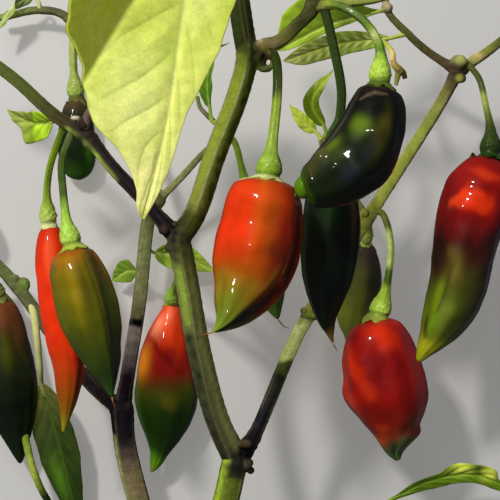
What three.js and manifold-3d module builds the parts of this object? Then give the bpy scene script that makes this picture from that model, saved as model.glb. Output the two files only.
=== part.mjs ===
// The cut fruiting top of a chilli pepper plant, laid on its back: two woody stems from one foot,
// their limbs and twigs, twelve pods on their stalks, and the larger leaves.
// Millimetres, +Z up. The stems run along +Y, from the flat cut of the foot to the leafy ends.
import * as THREE from "three";
import { mergeVertices } from "three/addons/utils/BufferGeometryUtils.js";
import Module from "manifold-3d";

const wasm = await Module();
wasm.setup();

// Driving dimensions
const gap = 0.3;
const middleOfBox = [0.5, 26.4, 0];
const limbSides = 8;
const twigSides = 6;
const twigLimit = 2.2;
const limbEndShare = 0.6;
const fewestLimbRings = 3;
const ringSpacing = 13;
const podSides = 10;
const podInset = 2.5;
const stalkSides = 6;
const pedicelRadius = 1.6;
const stalkPlaces = { capEdge: 0.6, neck: 2, bulb: 5, bulbEnd: 9, pedicel: 13 };
const capSize = { base: 1, perGirth: 0.7 };
const bulbSize = { base: 2.2, perCap: 0.25, neckShare: 0.85, endShare: 0.75 };
const shortestPedicel = 2;
const petioleRadius = 0.9;
const petioleSides = 4;
const petioleStations = [0, 0.5, 1];
const bladeThickness = 0.9;
const bladeRows = 4;
const ribReach = 0.1;
const ovateShape = { height: 3.02, basePower: 0.6, tipPower: 1.1, end: 0.01, least: 0.08 };

// Shares of a pod's length at which its half width is given, and at which its rings lie
const girthShares = [0, 0.12, 0.3, 0.5, 0.7, 0.88, 1];
const podRings = [0, 0.04, 0.12, 0.3, 0.5, 0.7, 0.8, 0.88, 1];

// Every place below is measured from the middle of the view, before the move to the box's middle.
// Limbs: the places they pass, and the half width at the start and at the end
const limbs = {
  stem_foot: {
    path: [[-24, -166, 6.2], [-24, -155, 6.2], [-24, -142, 12], [-23, -131, 22]],
    radii: [6.2, 5.6], flatStart: true,
  },
  lower_front_stem: {
    path: [[-23, -131, 22], [-13.8, -109, 40], [-8.2, -88.5, 54], [-5.2, -74, 61]], radii: [5.5, 5],
  },
  front_stem: {
    path: [[-5.4, -73, 61], [-12.5, -55.3, 64], [-18, -33, 67], [-21.3, -13.8, 69], [-24.3, 3.4, 71]],
    radii: [4.4, 4.1],
  },
  upper_stem: {
    path: [[-24.3, 3.4, 71], [-18.2, 13.7, 71], [-12.1, 32, 72], [-4.8, 51, 74], [-1.2, 64.5, 76],
      [-2.4, 75, 78], [-4.4, 87.6, 80], [-6.7, 101, 80]],
    radii: [3.9, 3.6],
  },
  left_limb: {
    path: [[-24.3, 3.4, 71], [-34.4, 14.8, 69], [-46.7, 27.6, 67], [-56.9, 39.6, 65], [-68.3, 47, 63],
      [-82.3, 59.6, 60], [-97, 70.5, 57]],
    radii: [2.9, 2.3],
  },
  top_limb: {
    path: [[-0.5, 67.5, 76.5], [9.1, 70.3, 77], [15.2, 75.2, 78], [20.9, 81.5, 80], [20.5, 90.6, 82],
      [18.7, 100, 84]],
    radii: [2.7, 1.7],
  },
  top_side_limb: {
    path: [[20.9, 81.7, 80], [33.5, 82.7, 83], [44.9, 84.2, 86], [54.7, 90, 88]], radii: [2, 1.2],
  },
  right_limb: {
    path: [[-4.2, -74, 60.5], [2.8, -63.2, 56], [14.8, -35.4, 50], [21.5, -22.9, 48], [40.6, 8, 42],
      [55.3, 30.7, 38], [68.9, 52, 36], [76.3, 65.5, 36]],
    radii: [2.8, 2.5],
  },
  right_inner_twig: {
    path: [[76.3, 65.5, 36], [65.2, 72.3, 38], [57.7, 78, 42], [49.3, 86.5, 46], [49.5, 96.8, 48]],
    radii: [1.9, 1.3],
  },
  right_outer_twig: {
    path: [[76.3, 65.5, 36], [86.9, 72.6, 33], [96, 80, 25], [104, 88, 13], [109, 95, 1.6]],
    radii: [2.2, 1.4],
  },
  back_stem: {
    path: [[-23.7, -131, 22], [-36.9, -111.2, 20.5], [-42.1, -94.4, 20], [-46.8, -75, 20],
      [-48.3, -60.5, 20]],
    radii: [5.2, 4.6],
  },
  back_middle_stem: {
    path: [[-48.3, -60.5, 20], [-45, -40.7, 21], [-41.4, -18.4, 22], [-38.3, 10, 23], [-34.1, 19, 24]],
    radii: [3.2, 2.8],
  },
  back_left_limb: {
    path: [[-48.3, -60.5, 20], [-60.8, -49.8, 20], [-77.4, -28.3, 20], [-88.3, -13.2, 20],
      [-101.9, 0.8, 20]],
    radii: [3.1, 2.5],
  },
  back_upper_limb: {
    path: [[-34.1, 19, 24], [-41.4, 41.4, 22], [-52.3, 66.3, 18], [-68.1, 87.5, 13], [-80.7, 92.2, 10],
      [-96.4, 89.5, 8]],
    radii: [2.1, 1.5],
  },
  back_twig: {
    path: [[-34.1, 19, 24], [-25.8, 26.9, 26], [-16.7, 36.5, 28], [-7, 43.7, 30]], radii: [1.6, 1.3],
  },
  lower_right_shoot: {
    path: [[-9.3, -95.4, 48], [14.7, -107, 38], [35, -108, 29], [48, -98, 23]], radii: [1.8, 1.2],
  },
  inner_shoot: {
    path: [[43, 11.5, 41], [35, 24, 38], [27, 36, 38.5], [25.7, 41, 40]], radii: [1.3, 1],
  },
};

// Pods: the axis from the top to the tip, the half widths at girthShares, the stalk from its limb
const pods = {
  front_pod: {
    axis: [[5.8, 23.5, 83.5], [3.4, 5, 84.3], [-1, -12.9, 89.5], [-11.8, -26.35, 102]],
    girth: [8.8, 12.4, 14.2, 13.8, 9.9, 4.2, 0.5],
    stalk: [[6.4, 69, 77.5], [9.1, 63, 78.5], [9.1, 50.4, 81], [7.2, 33.4, 83.3]], colour: "#d93a12",
  },
  bent_pod: {
    axis: [[42.5, 54, 92], [39.2, 38.6, 92.7], [30.6, 25.8, 94], [16.4, 20.6, 94]],
    girth: [6, 8.9, 10.9, 12, 11, 7.8, 3.2],
    stalk: [[25.8, 82.4, 82], [30.8, 80.5, 88], [38.2, 74.7, 91], [42.7, 66, 92]], colour: "#1d2e14",
  },
  dark_pod: {
    axis: [[29.8, 36.4, 60], [28.5, 13.3, 60], [26.7, -9.7, 60], [29.1, -32.6, 60]],
    girth: [5.6, 9.1, 9.8, 10.2, 8.3, 3.6, 0.5],
    stalk: [[24.9, 81.5, 80.5], [26.9, 74.8, 78], [31, 58, 71], [31.5, 48.8, 66]], colour: "#141d16",
  },
  shaded_pod: {
    axis: [[43.5, 2.2, 24], [41.9, -10.3, 17.7], [40, -23.4, 12], [37.8, -36.6, 6]],
    girth: [3.4, 5.4, 8.5, 7.8, 6.9, 2.8, 0.5],
    stalk: [[41.5, 9, 41.5], [43.5, 9.5, 36], [44.3, 7, 30]], colour: "#4c4a3a",
  },
  lumpy_pod: {
    axis: [[46.4, -24.7, 42], [48.5, -42, 42], [50, -59.4, 42], [53.3, -76.5, 42]],
    girth: [5.8, 10.8, 14, 15.2, 11.7, 6.6, 1.5],
    stalk: [[44.5, 14.5, 41], [48.6, 12.2, 41.8], [51.1, 1, 42], [49.4, -13.5, 42]], colour: "#9c120c",
  },
  long_pod: {
    axis: [[86, 33, 48], [78.3, 8.1, 49.2], [71.7, -16.9, 52.9], [59.2, -39.5, 57]],
    girth: [6.8, 12.2, 12.6, 10.9, 9.6, 5, 0.8],
    stalk: [[79.3, 68.6, 36.8], [83.5, 62, 40], [85.4, 52, 43], [86.6, 43, 46]], colour: "#8b1c10",
  },
  slim_pod: {
    axis: [[-72.7, 8.7, 43], [-70.4, -16.4, 43], [-66.4, -41.3, 43], [-67.7, -66.2, 43]],
    girth: [3.6, 5.2, 6, 6.3, 5.1, 2.6, 0.5],
    stalk: [[-64.5, 44, 62.5], [-70.3, 31.7, 57], [-73.1, 23, 50], [-73.3, 15, 45]], colour: "#e2420c",
  },
  olive_pod: {
    axis: [[-61.5, 0.7, 64], [-57.5, -16.7, 64], [-53.3, -34.1, 64], [-48, -51.1, 64]],
    girth: [5.6, 8.9, 10.6, 10.5, 7.6, 4.1, 0.6],
    stalk: [[-61.5, 42, 64], [-65.3, 31.3, 64], [-65, 20.9, 64], [-63.6, 9, 64]], colour: "#6d6a12",
  },
  ripening_pod: {
    axis: [[-29.8, -20.2, 14], [-32.2, -42.1, 12.2], [-32.6, -64.1, 11.9], [-37.9, -85.3, 11]],
    girth: [3.1, 6.3, 10.1, 11.9, 10.1, 2.8, 0.6],
    stalk: [[-22.5, -5, 67], [-23.8, -8, 50], [-26.6, -11.1, 32], [-28.6, -15, 21]], colour: "#a3260f",
  },
  small_pod: {
    axis: [[-66.9, 57.9, 8], [-66.9, 47.4, 7.6], [-66.8, 37, 7.4], [-66, 26.6, 7.2]],
    girth: [3.9, 5.2, 6.7, 7.2, 6.9, 4, 0.8],
    stalk: [[-66.6, 87, 13], [-67.8, 78.5, 12], [-67.8, 69, 10.5]], colour: "#1d3a14",
  },
  edge_pod: {
    axis: [[-95.4, -19.1, 13], [-93.9, -40.2, 11.8], [-91.2, -61.1, 11.4], [-88.1, -82, 11]],
    girth: [4.6, 7.1, 10, 11.3, 8.5, 3.8, 0.6],
    stalk: [[-94.5, -7, 20], [-97.5, -9.5, 18], [-97.5, -14, 15]], colour: "#2a2a12",
  },
  hidden_pod: {
    axis: [[-0.5, 17.5, 29], [2.5, 4, 27], [6, -10.5, 25], [10.5, -26, 22]],
    girth: [3.7, 5.9, 8.4, 9.2, 7.1, 3.4, 0.6],
    stalk: [[-8, 43, 29.8], [-5.3, 39, 30.4], [-3.2, 31, 30.3], [-1.6, 24, 29.6]], colour: "#4c7f1e",
  },
};

// Leaves: the petiole from its limb, the midrib, the direction across it, and the half widths
const leaves = {
  front_leaf: {
    petiole: [[-6.7, 99, 80], [-8.5, 104, 91], [-12.5, 104, 102]], petioleRadius: 1.3,
    spine: [[-15.5, 98.4, 108], [-20.2, 79.8, 110], [-26.9, 38.3, 108], [-34.2, 10.4, 104]],
    across: [1, 0.15, 0], halves: [34, 13], colour: "#b9cf4e",
  },
  curled_leaf: {
    petiole: [[-8.5, 42.5, 73], [-13, 44.5, 68]], spine: [[-14, 50, 62], [-14.5, 60, 58], [-12.5, 70, 55],
      [-7, 74, 52]],
    across: [0.25, 0, 1], halves: [5, 5], colour: "#7fae2e",
  },
  upper_right_leaf: {
    petiole: [[49.3, 86.5, 46]], spine: [[46.9, 85.5, 49], [28.2, 79.5, 56], [9.5, 70, 58]],
    across: [0, 1, 0.2], halves: [3, 12.5], colour: "#8cc034",
  },
  striped_leaf: {
    petiole: [[57.2, 78.5, 42]], spine: [[50.6, 76.5, 44], [31.5, 74.3, 45], [11.9, 68, 46]],
    across: [0, 1, 0.4], halves: [4.8, 4.8], colour: "#86b23a",
  },
  small_leaf_left: {
    petiole: [[25.9, 40.2, 39.8]], spine: [[24, 43, 40.2], [19.6, 46.5, 41], [14.1, 52.9, 42]],
    across: [1, 1, 0.2], halves: [2.6, 2.6], colour: "#7fb536",
  },
  small_leaf_right: {
    petiole: [[26.2, 40.4, 39.8], [27.6, 42.2, 40]],
    spine: [[27, 45, 40.3], [22.6, 54, 41], [30.4, 65.9, 40]],
    across: [1, 0.2, 0.2], halves: [3.2, 2.6], colour: "#7fb536",
  },
  back_leaf_left: {
    petiole: [[-41.4, -7, 22.4], [-42.6, -6.6, 18.5]], spine: [[-43, -8, 16], [-47, -8, 12], [-53.5, -12, 8]],
    across: [0, 1, 0.3], halves: [4.5, 4.5], colour: "#6b9a2c",
  },
  back_leaf_right: {
    petiole: [[-41, 0, 22.7], [-38.4, 0, 18]], spine: [[-36.5, -1, 15], [-25.7, -2.3, 11], [-13.1, -8.5, 8]],
    across: [0, 1, 0.3], halves: [5.5, 5], colour: "#6b9a2c",
  },
  lower_right_leaf: {
    petiole: [[47.5, -98.8, 23.2]],
    spine: [[52, -94.5, 22.5], [67, -87, 22], [85, -84.5, 22], [103, -93, 20]],
    across: [0, 1, 0.4], halves: [4, 5.4], colour: "#5f9a26",
  },
  lower_left_leaf: {
    petiole: [[-84, -19, 20], [-81.4, -24, 21.5], [-80.2, -34, 21], [-79.8, -45, 16]], petioleRadius: 1.6,
    spine: [[-80, -51, 12], [-73.8, -73, 10], [-68.5, -96, 8], [-65.8, -112, 6]],
    across: [1, 0.3, 0.3], halves: [8.5, 8.5], colour: "#2f4d1c",
  },
  left_leaf: {
    petiole: [[-67, 46.2, 63]], spine: [[-70, 44.6, 60], [-76.5, 45, 58], [-85.8, 49.4, 56]],
    across: [0, 1, 0.5], halves: [5, 5], colour: "#77b32c",
  },
  top_left_leaf: {
    petiole: [[-80.7, 92.2, 10], [-81, 95, 11.5]], spine: [[-83, 97, 12], [-90, 93.5, 14], [-97, 83, 14]],
    across: [1, 1, 0.3], halves: [3, 3], colour: "#8aa94a",
  },
  stem_end_leaf: {
    petiole: [[-6.6, 100, 80]], spine: [[-8.6, 104, 80.5], [-13, 109, 83], [-19, 112.5, 86]],
    across: [1, 1, 0], halves: [4.5, 4.5], colour: "#9cc23e",
  },
  top_end_leaf: {
    petiole: [[18.8, 99, 84]], spine: [[20, 102.5, 85], [24.5, 108, 87], [31, 112.5, 89]],
    across: [1, -1, 0], halves: [4.5, 4.5], colour: "#8cc034",
  },
  side_end_leaf: {
    petiole: [[54, 89.5, 87.8]], spine: [[58, 91, 89], [65, 94, 91], [75, 96, 92]],
    across: [0.3, -1, 0], halves: [5, 5], colour: "#9cc23e",
  },
  right_end_leaf: {
    petiole: [[108.6, 94.4, 2.4]], spine: [[106.5, 97.5, 1.6], [102, 103.5, 1.2], [96, 111, 0.7]],
    across: [1, 1, 0], halves: [5, 5], colour: "#7fb536",
  },
  left_end_leaf: {
    petiole: [[-96, 69.8, 57.2]], spine: [[-99.5, 73, 57.5], [-104, 79, 58.5], [-109, 88, 60]],
    across: [1, 0.8, 0], halves: [5.5, 5.5], colour: "#77b32c",
  },
  back_left_end_leaf: {
    petiole: [[-101.2, 0.2, 20]], spine: [[-103.5, 4.5, 19], [-106, 12, 15], [-107.5, 22, 8]],
    across: [1, 0.3, 0], halves: [5, 5], colour: "#77b32c",
  },
};

const barkColour = "#5f6d2c";
const oldBarkColour = "#7c7457";
const pedicelColour = "#7db134";
const backLimbs = ["back_stem", "back_middle_stem", "back_left_limb", "back_upper_limb", "back_twig"];

// Curves and frames
function pathOf(places) {
  const points = places.map((place) => new THREE.Vector3(...place));
  return new THREE.CatmullRomCurve3(points, false, "catmullrom", 0.5);
}

function pointAt(path, share) {
  const held = THREE.MathUtils.clamp(share, 0, 1);
  const beyond = (share - held) * path.getLength();
  return path.getPointAt(held).addScaledVector(path.getTangentAt(held), beyond);
}

// Rings stay square to the path and don't twist: each takes the last one's upward direction
function framesAlong(path, shares) {
  const first = path.getTangentAt(0);
  let up = Math.abs(first.z) > 0.9 ? new THREE.Vector3(1, 0, 0) : new THREE.Vector3(0, 0, 1);
  return shares.map((share) => {
    const tangent = path.getTangentAt(THREE.MathUtils.clamp(share, 0, 1));
    up = up.clone().addScaledVector(tangent, -up.dot(tangent)).normalize();
    const side = new THREE.Vector3().crossVectors(tangent, up);
    return { centre: pointAt(path, share), tangent, up, side };
  });
}

// A smooth curve through values given at uneven shares
function smoothValue(shares, values, share) {
  const slopeAt = (i) => {
    const before = Math.max(i - 1, 0);
    const after = Math.min(i + 1, values.length - 1);
    return (values[after] - values[before]) / (shares[after] - shares[before]);
  };
  let i = 0;
  while (i < shares.length - 2 && share > shares[i + 1]) {
    i += 1;
  }
  const width = shares[i + 1] - shares[i];
  const t = (share - shares[i]) / width;
  const rise = t * t * (3 - 2 * t);
  const startPull = slopeAt(i) * width * t * (1 - t) * (1 - t);
  const endPull = slopeAt(i + 1) * width * t * t * (t - 1);
  return values[i] * (1 - rise) + values[i + 1] * rise + startPull + endPull;
}

// Solids
function solidOf(geometry) {
  geometry.deleteAttribute("normal");
  geometry.deleteAttribute("uv");
  const merged = mergeVertices(geometry);
  const corners = [];
  const index = merged.index.array;
  for (let i = 0; i < index.length; i += 3) {
    const [a, b, c] = index.slice(i, i + 3);
    if (a !== b && b !== c && c !== a) {
      corners.push(a, b, c);
    }
  }
  return new wasm.Manifold(new wasm.Mesh({
    numProp: 3,
    vertProperties: Float32Array.from(merged.attributes.position.array),
    triVerts: Uint32Array.from(corners),
  }));
}

// A turned body with its axis bent along a path: stations are [share of the length, half width]
function bentLathe(path, stations, sides) {
  const outline = stations.map(([share, radius]) => new THREE.Vector2(radius, share));
  outline.unshift(new THREE.Vector2(0, stations[0][0]));
  outline.push(new THREE.Vector2(0, stations.at(-1)[0]));
  const geometry = new THREE.LatheGeometry(outline, sides);
  const frames = framesAlong(path, outline.map((corner) => corner.y));
  const position = geometry.attributes.position;
  for (let i = 0; i < position.count; i += 1) {
    const { centre, up, side } = frames[i % outline.length];
    const place = centre.clone();
    place.addScaledVector(side, position.getX(i));
    place.addScaledVector(up, position.getZ(i));
    position.setXYZ(i, place.x, place.y, place.z);
  }
  return solidOf(geometry);
}

function limbSolid({ path, radii, flatStart = false }, grow) {
  const curve = pathOf(path);
  const length = curve.getLength();
  const [first, last] = radii;
  const steps = Math.max(fewestLimbRings, Math.round(length / ringSpacing));
  const stations = [];
  for (let i = 0; i <= steps; i += 1) {
    const share = THREE.MathUtils.lerp(flatStart ? 0 : first / length, 1 - last / length, i / steps);
    stations.push([share, THREE.MathUtils.lerp(first, last, share) + grow]);
  }
  if (flatStart) {
    stations[0][0] = -grow / length;
  } else {
    stations.unshift([-grow / length, first * limbEndShare + grow]);
  }
  stations.push([1 + grow / length, last * limbEndShare + grow]);
  return bentLathe(curve, stations, first > twigLimit ? limbSides : twigSides);
}

function podSolid({ axis, girth }, grow) {
  const curve = pathOf(axis);
  const reach = grow / curve.getLength();
  const stations = podRings.map((share) => {
    const stretched = share * (1 + 2 * reach) - reach;
    return [stretched, smoothValue(girthShares, girth, share) + grow];
  });
  return bentLathe(curve, stations, podSides);
}

// A stalk: slender pedicel, bulb, neck, and the cap that sits over the pod's shoulder
function stalkSolid({ axis, girth, stalk }, grow) {
  const podCurve = pathOf(axis);
  const inside = podInset / podCurve.getLength();
  const curve = pathOf([...stalk, axis[0], podCurve.getPointAt(inside).toArray()]);
  const length = curve.getLength();
  const cap = capSize.base + capSize.perGirth * girth[0];
  const bulb = bulbSize.base + bulbSize.perCap * cap;
  const fromPod = [
    [-podInset, cap],
    [stalkPlaces.capEdge, cap],
    [stalkPlaces.neck, bulb * bulbSize.neckShare],
    [stalkPlaces.bulb, bulb],
    [stalkPlaces.bulbEnd, bulb * bulbSize.endShare],
    [stalkPlaces.pedicel, pedicelRadius],
  ];
  const stations = fromPod.filter(([distance]) => distance + podInset < length - shortestPedicel)
    .map(([distance, radius]) => [1 - (distance + podInset) / length, radius + grow]).reverse();
  const free = stations[0][0];
  const steps = Math.max(1, Math.round(free * length / ringSpacing));
  for (let i = steps - 1; i >= 0; i -= 1) {
    stations.unshift([free * i / steps, pedicelRadius + grow]);
  }
  return bentLathe(curve, stations, stalkSides);
}

// An ovate outline: widest at about a third of the length, drawn out to a point
function ovate(share) {
  const held = THREE.MathUtils.clamp(share, ovateShape.end, 1 - ovateShape.end);
  const half = ovateShape.height * held ** ovateShape.basePower * (1 - held) ** ovateShape.tipPower;
  return Math.max(ovateShape.least, half);
}

function leafSolid({ petiole, petioleRadius: stemRadius = petioleRadius, spine, across, halves }, grow) {
  const curve = pathOf(spine);
  const reach = grow / curve.getLength();
  const geometry = new THREE.BoxGeometry(2, 1, 2, 2, bladeRows, 1);
  const position = geometry.attributes.position;
  for (let i = 0; i < position.count; i += 1) {
    const share = position.getY(i) + 0.5;
    const stretched = share * (1 + 2 * reach) - reach;
    const tangent = curve.getTangentAt(share);
    const side = new THREE.Vector3(...across);
    side.addScaledVector(tangent, -side.dot(tangent)).normalize();
    const up = new THREE.Vector3().crossVectors(side, tangent);
    const x = position.getX(i);
    const half = x < 0 ? halves[0] : halves[1];
    const place = pointAt(curve, stretched);
    place.addScaledVector(side, x * (half * ovate(share) + grow));
    place.addScaledVector(up, position.getZ(i) * (bladeThickness / 2 + grow));
    position.setXYZ(i, place.x, place.y, place.z);
  }
  const stemPath = pathOf([...petiole, spine[0], curve.getPointAt(ribReach).toArray()]);
  const stem = bentLathe(stemPath, petioleStations.map((share) => [share, stemRadius + grow]), petioleSides);
  return solidOf(geometry).add(stem);
}

// Each sub-part is cut clear of those before it, so that it meets them with a small gap
const plant = new THREE.Group();
plant.position.set(...middleOfBox);
const clearances = [];

function addPart(name, makeSolid, colour, roughness) {
  const solid = clearances.reduce((rest, taken) => rest.subtract(taken), makeSolid(0));
  clearances.push(makeSolid(gap));
  const { vertProperties, triVerts } = solid.getMesh();
  const geometry = new THREE.BufferGeometry();
  geometry.setAttribute("position", new THREE.BufferAttribute(vertProperties, 3));
  geometry.setIndex(new THREE.BufferAttribute(triVerts, 1));
  geometry.computeVertexNormals();
  const material = new THREE.MeshStandardMaterial({ color: colour, roughness, metalness: 0 });
  const mesh = new THREE.Mesh(geometry, material);
  mesh.name = name;
  plant.add(mesh);
}

for (const [name, limb] of Object.entries(limbs)) {
  addPart(name, (grow) => limbSolid(limb, grow), backLimbs.includes(name) ? oldBarkColour : barkColour, 0.7);
}
for (const [name, pod] of Object.entries(pods)) {
  addPart(name, (grow) => podSolid(pod, grow), pod.colour, 0.2);
}
for (const [name, pod] of Object.entries(pods)) {
  addPart(`${name}_stalk`, (grow) => stalkSolid(pod, grow), pedicelColour, 0.45);
}
for (const [name, leaf] of Object.entries(leaves)) {
  addPart(name, (grow) => leafSolid(leaf, grow), leaf.colour, 0.55);
}

export default plant;
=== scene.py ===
import math
import bmesh
import bpy
import numpy as np
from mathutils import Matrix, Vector


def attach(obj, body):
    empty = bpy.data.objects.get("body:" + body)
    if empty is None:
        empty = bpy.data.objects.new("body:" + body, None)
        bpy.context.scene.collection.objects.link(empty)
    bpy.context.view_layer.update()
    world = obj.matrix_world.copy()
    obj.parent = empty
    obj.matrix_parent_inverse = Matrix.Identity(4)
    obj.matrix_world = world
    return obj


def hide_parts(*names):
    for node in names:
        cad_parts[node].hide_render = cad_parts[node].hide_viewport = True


# A chilli pepper plant's cut top, lying on its back and seen from straight above.
# Places are in millimetres from the middle of the view, as in the CAD part.
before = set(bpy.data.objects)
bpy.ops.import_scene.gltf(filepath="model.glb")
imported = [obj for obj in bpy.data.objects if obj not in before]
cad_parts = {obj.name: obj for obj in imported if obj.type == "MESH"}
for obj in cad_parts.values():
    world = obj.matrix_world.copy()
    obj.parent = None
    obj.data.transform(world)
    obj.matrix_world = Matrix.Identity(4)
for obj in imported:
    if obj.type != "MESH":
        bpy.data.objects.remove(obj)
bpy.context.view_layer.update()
print("frame loaded")

metre = 1000
view = {"height": 575, "lens": 105.84, "sensor": 36, "middle": (0.5, 26.4, 0)}
grain = {"podSides": 84, "podRings": 120, "stalkSides": 44, "stalkRings": 150, "blobSides": 24,
         "blobRings": 16, "curveSteps": 60, "woodVoxel": 0.44, "weld": 2e-6}


# camera, lights and floor

lightBuild = {"aim": (0, 0.02, 0.05), "distance": 1.2}
lights = {
    "keyLight": {"towards": (-0.38, 0.5, 0.78), "size": 0.11, "power": 8, "colour": (1, 0.96, 0.88)},
    "openLight": {"towards": (-0.5, 0.42, 0.76), "size": 0.4, "power": 9, "colour": (1, 0.96, 0.88),
                  "shadows": False, "glossy": False},
    "skyLight": {"towards": (-0.16, 0.6, 0.78), "size": 0.5, "power": 2, "colour": (0.92, 0.96, 1),
                 "glossy": False},
}
studio = {"colour": (0.86, 0.92, 1, 1), "strength": 0.1}
floorLook = {"size": 2, "colour": (0.52, 0.52, 0.53, 1), "roughness": 0.85}


def addCamera():
    cameraData = bpy.data.cameras.new("camera")
    cameraData.lens = view["lens"]
    cameraData.sensor_width = view["sensor"]
    camera = bpy.data.objects.new("camera", cameraData)
    camera.location = (view["middle"][0] / metre, view["middle"][1] / metre, view["height"] / metre)
    bpy.context.scene.collection.objects.link(camera)
    bpy.context.scene.camera = camera


def addLight(name, facts):
    lamp = bpy.data.lights.new(name, "AREA")
    lamp.size = facts["size"]
    lamp.energy = facts["power"]
    lamp.color = facts["colour"]
    lamp.use_shadow = facts.get("shadows", True)
    holder = bpy.data.objects.new(name, lamp)
    direction = Vector(facts["towards"]).normalized()
    holder.location = Vector(lightBuild["aim"]) + direction * lightBuild["distance"]
    holder.rotation_mode = "QUATERNION"
    holder.rotation_quaternion = direction.to_track_quat("Z", "Y")
    holder.visible_glossy = facts.get("glossy", True)
    bpy.context.scene.collection.objects.link(holder)


def addWorld():
    world = bpy.data.worlds.new("studio")
    world.use_nodes = True
    world.node_tree.nodes["Background"].inputs["Color"].default_value = studio["colour"]
    world.node_tree.nodes["Background"].inputs["Strength"].default_value = studio["strength"]
    bpy.context.scene.world = world
    bpy.context.scene.view_settings.view_transform = "Standard"


def meshFrom(bm, name):
    mesh = bpy.data.meshes.new(name)
    bm.to_mesh(mesh)
    bm.free()
    return mesh


def addFloor():
    bm = bmesh.new()
    bmesh.ops.create_grid(bm, x_segments=1, y_segments=1, size=floorLook["size"])
    mesh = meshFrom(bm, "floor")
    paper = bpy.data.materials.new("floorPaper")
    paper.use_nodes = True
    shader = paper.node_tree.nodes["Principled BSDF"]
    shader.inputs["Base Color"].default_value = floorLook["colour"]
    shader.inputs["Roughness"].default_value = floorLook["roughness"]
    mesh.materials.append(paper)
    floor = bpy.data.objects.new("floor", mesh)
    floor.visible_glossy = False
    bpy.context.scene.collection.objects.link(floor)


addCamera()
for name, facts in lights.items():
    addLight(name, facts)
addWorld()
addFloor()
print("stage ready")


# curves, frames and smooth values

def unit(vectors):
    return vectors / np.linalg.norm(vectors, axis=-1, keepdims=True)


def ease(t):
    return t * t * (3 - 2 * t)


def pathOf(places):
    # a smooth curve through the places, with a frame that turns as little as it can
    knots = np.array(places, float)
    knots = np.vstack([2 * knots[0] - knots[1], knots, 2 * knots[-1] - knots[-2]])
    t = np.linspace(0, 1, grain["curveSteps"], endpoint=False)[:, None]
    rise = ease(t)
    spans = []
    for i in range(1, len(knots) - 2):
        startPull = (knots[i + 1] - knots[i - 1]) / 2 * t * (1 - t) ** 2
        endPull = (knots[i + 2] - knots[i]) / 2 * t * t * (t - 1)
        spans.append(knots[i] * (1 - rise) + knots[i + 1] * rise + startPull + endPull)
    spots = np.vstack([*spans, knots[-2]])
    run = np.concatenate([[0], np.cumsum(np.linalg.norm(np.diff(spots, axis=0), axis=1))])
    tangents = unit(np.gradient(spots, axis=0))
    steep = abs(tangents[0, 2]) > 0.9
    up = np.array([1.0, 0, 0]) if steep else np.array([0, 0, 1.0])
    ups = []
    for tangent in tangents:
        up = unit(up - up.dot(tangent) * tangent)
        ups.append(up)
    ups = np.array(ups)
    return {"spots": spots, "shares": run / run[-1], "length": run[-1], "tangents": tangents,
            "ups": ups, "sides": np.cross(tangents, ups)}


def at(path, share):
    # centre, tangent, up and side at each share; past the ends the path goes straight on
    held = np.clip(share, 0, 1)
    found = {}
    for key in ("spots", "tangents", "ups", "sides"):
        columns = [np.interp(held, path["shares"], path[key][:, i]) for i in range(3)]
        found[key] = np.stack(columns, axis=-1)
    beyond = ((share - held) * path["length"])[:, None]
    centre = found["spots"] + found["tangents"] * beyond
    return centre, found["tangents"], found["ups"], found["sides"]


def ringSpots(centre, side, up, angle, radius):
    # places about each centre, at this angle in radians and this distance
    return centre + side * (radius * np.cos(angle))[:, None] + up * (radius * np.sin(angle))[:, None]


def smoothValue(shares, values, share):
    # a smooth curve through the values, read at each share
    shares = np.array(shares, float)
    values = np.array(values, float)
    slopes = np.empty_like(values)
    slopes[1:-1] = (values[2:] - values[:-2]) / (shares[2:] - shares[:-2])
    slopes[0] = (values[1] - values[0]) / (shares[1] - shares[0])
    slopes[-1] = (values[-1] - values[-2]) / (shares[-1] - shares[-2])
    i = np.clip(np.searchsorted(shares, share) - 1, 0, len(shares) - 2)
    width = shares[i + 1] - shares[i]
    t = (share - shares[i]) / width
    pulls = slopes[i] * width * t * (1 - t) ** 2 + slopes[i + 1] * width * t * t * (t - 1)
    return values[i] * (1 - ease(t)) + values[i + 1] * ease(t) + pulls


def smoothStep(low, high, value):
    return ease(np.clip((value - low) / (high - low), 0, 1))


def window(share, start, end, outer, inner):
    # 1 from start to end, fading from outer beyond each of them to inner within
    rise = smoothStep(start - outer, start + inner, share)
    return rise * (1 - smoothStep(end - inner, end + outer, share))


rippleBuild = {"waves": 9, "sizes": (0.7, 1.6), "turn": 6.28, "calm": 4}


def ripple(spots, size, seed):
    # an uneven field between about -1 and 1: waves in dealt directions
    dealer = np.random.default_rng(seed)
    total = 0
    for _ in range(rippleBuild["waves"]):
        direction = unit(dealer.normal(size=3))
        wave = 2 * math.pi / (size * dealer.uniform(*rippleBuild["sizes"]))
        total = total + np.sin(spots @ direction * wave + dealer.uniform(0, rippleBuild["turn"]))
    return total / rippleBuild["calm"]


def tint(code):
    # a colour written as on a screen, as light values
    parts = np.array([int(code[i:i + 2], 16) for i in (1, 3, 5)]) / 255
    return np.where(parts < 0.04045, parts / 12.92, ((parts + 0.055) / 1.055) ** 2.4)


def tonesAlong(tones, share):
    places = [place for place, _ in tones]
    colours = np.array([tint(code) for _, code in tones])
    return np.stack([np.interp(share, places, colours[:, i]) for i in range(3)], axis=-1)


def mixIn(tones, weight, code):
    return tones + weight[:, None] * (tint(code) - tones)


# meshes: a grid from the operator, rolled or bent to its shape

def vectorsOf(mesh, key):
    values = np.empty(len(mesh.vertices) * 3)
    mesh.vertices.foreach_get(key, values)
    return values.reshape(-1, 3)


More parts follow.
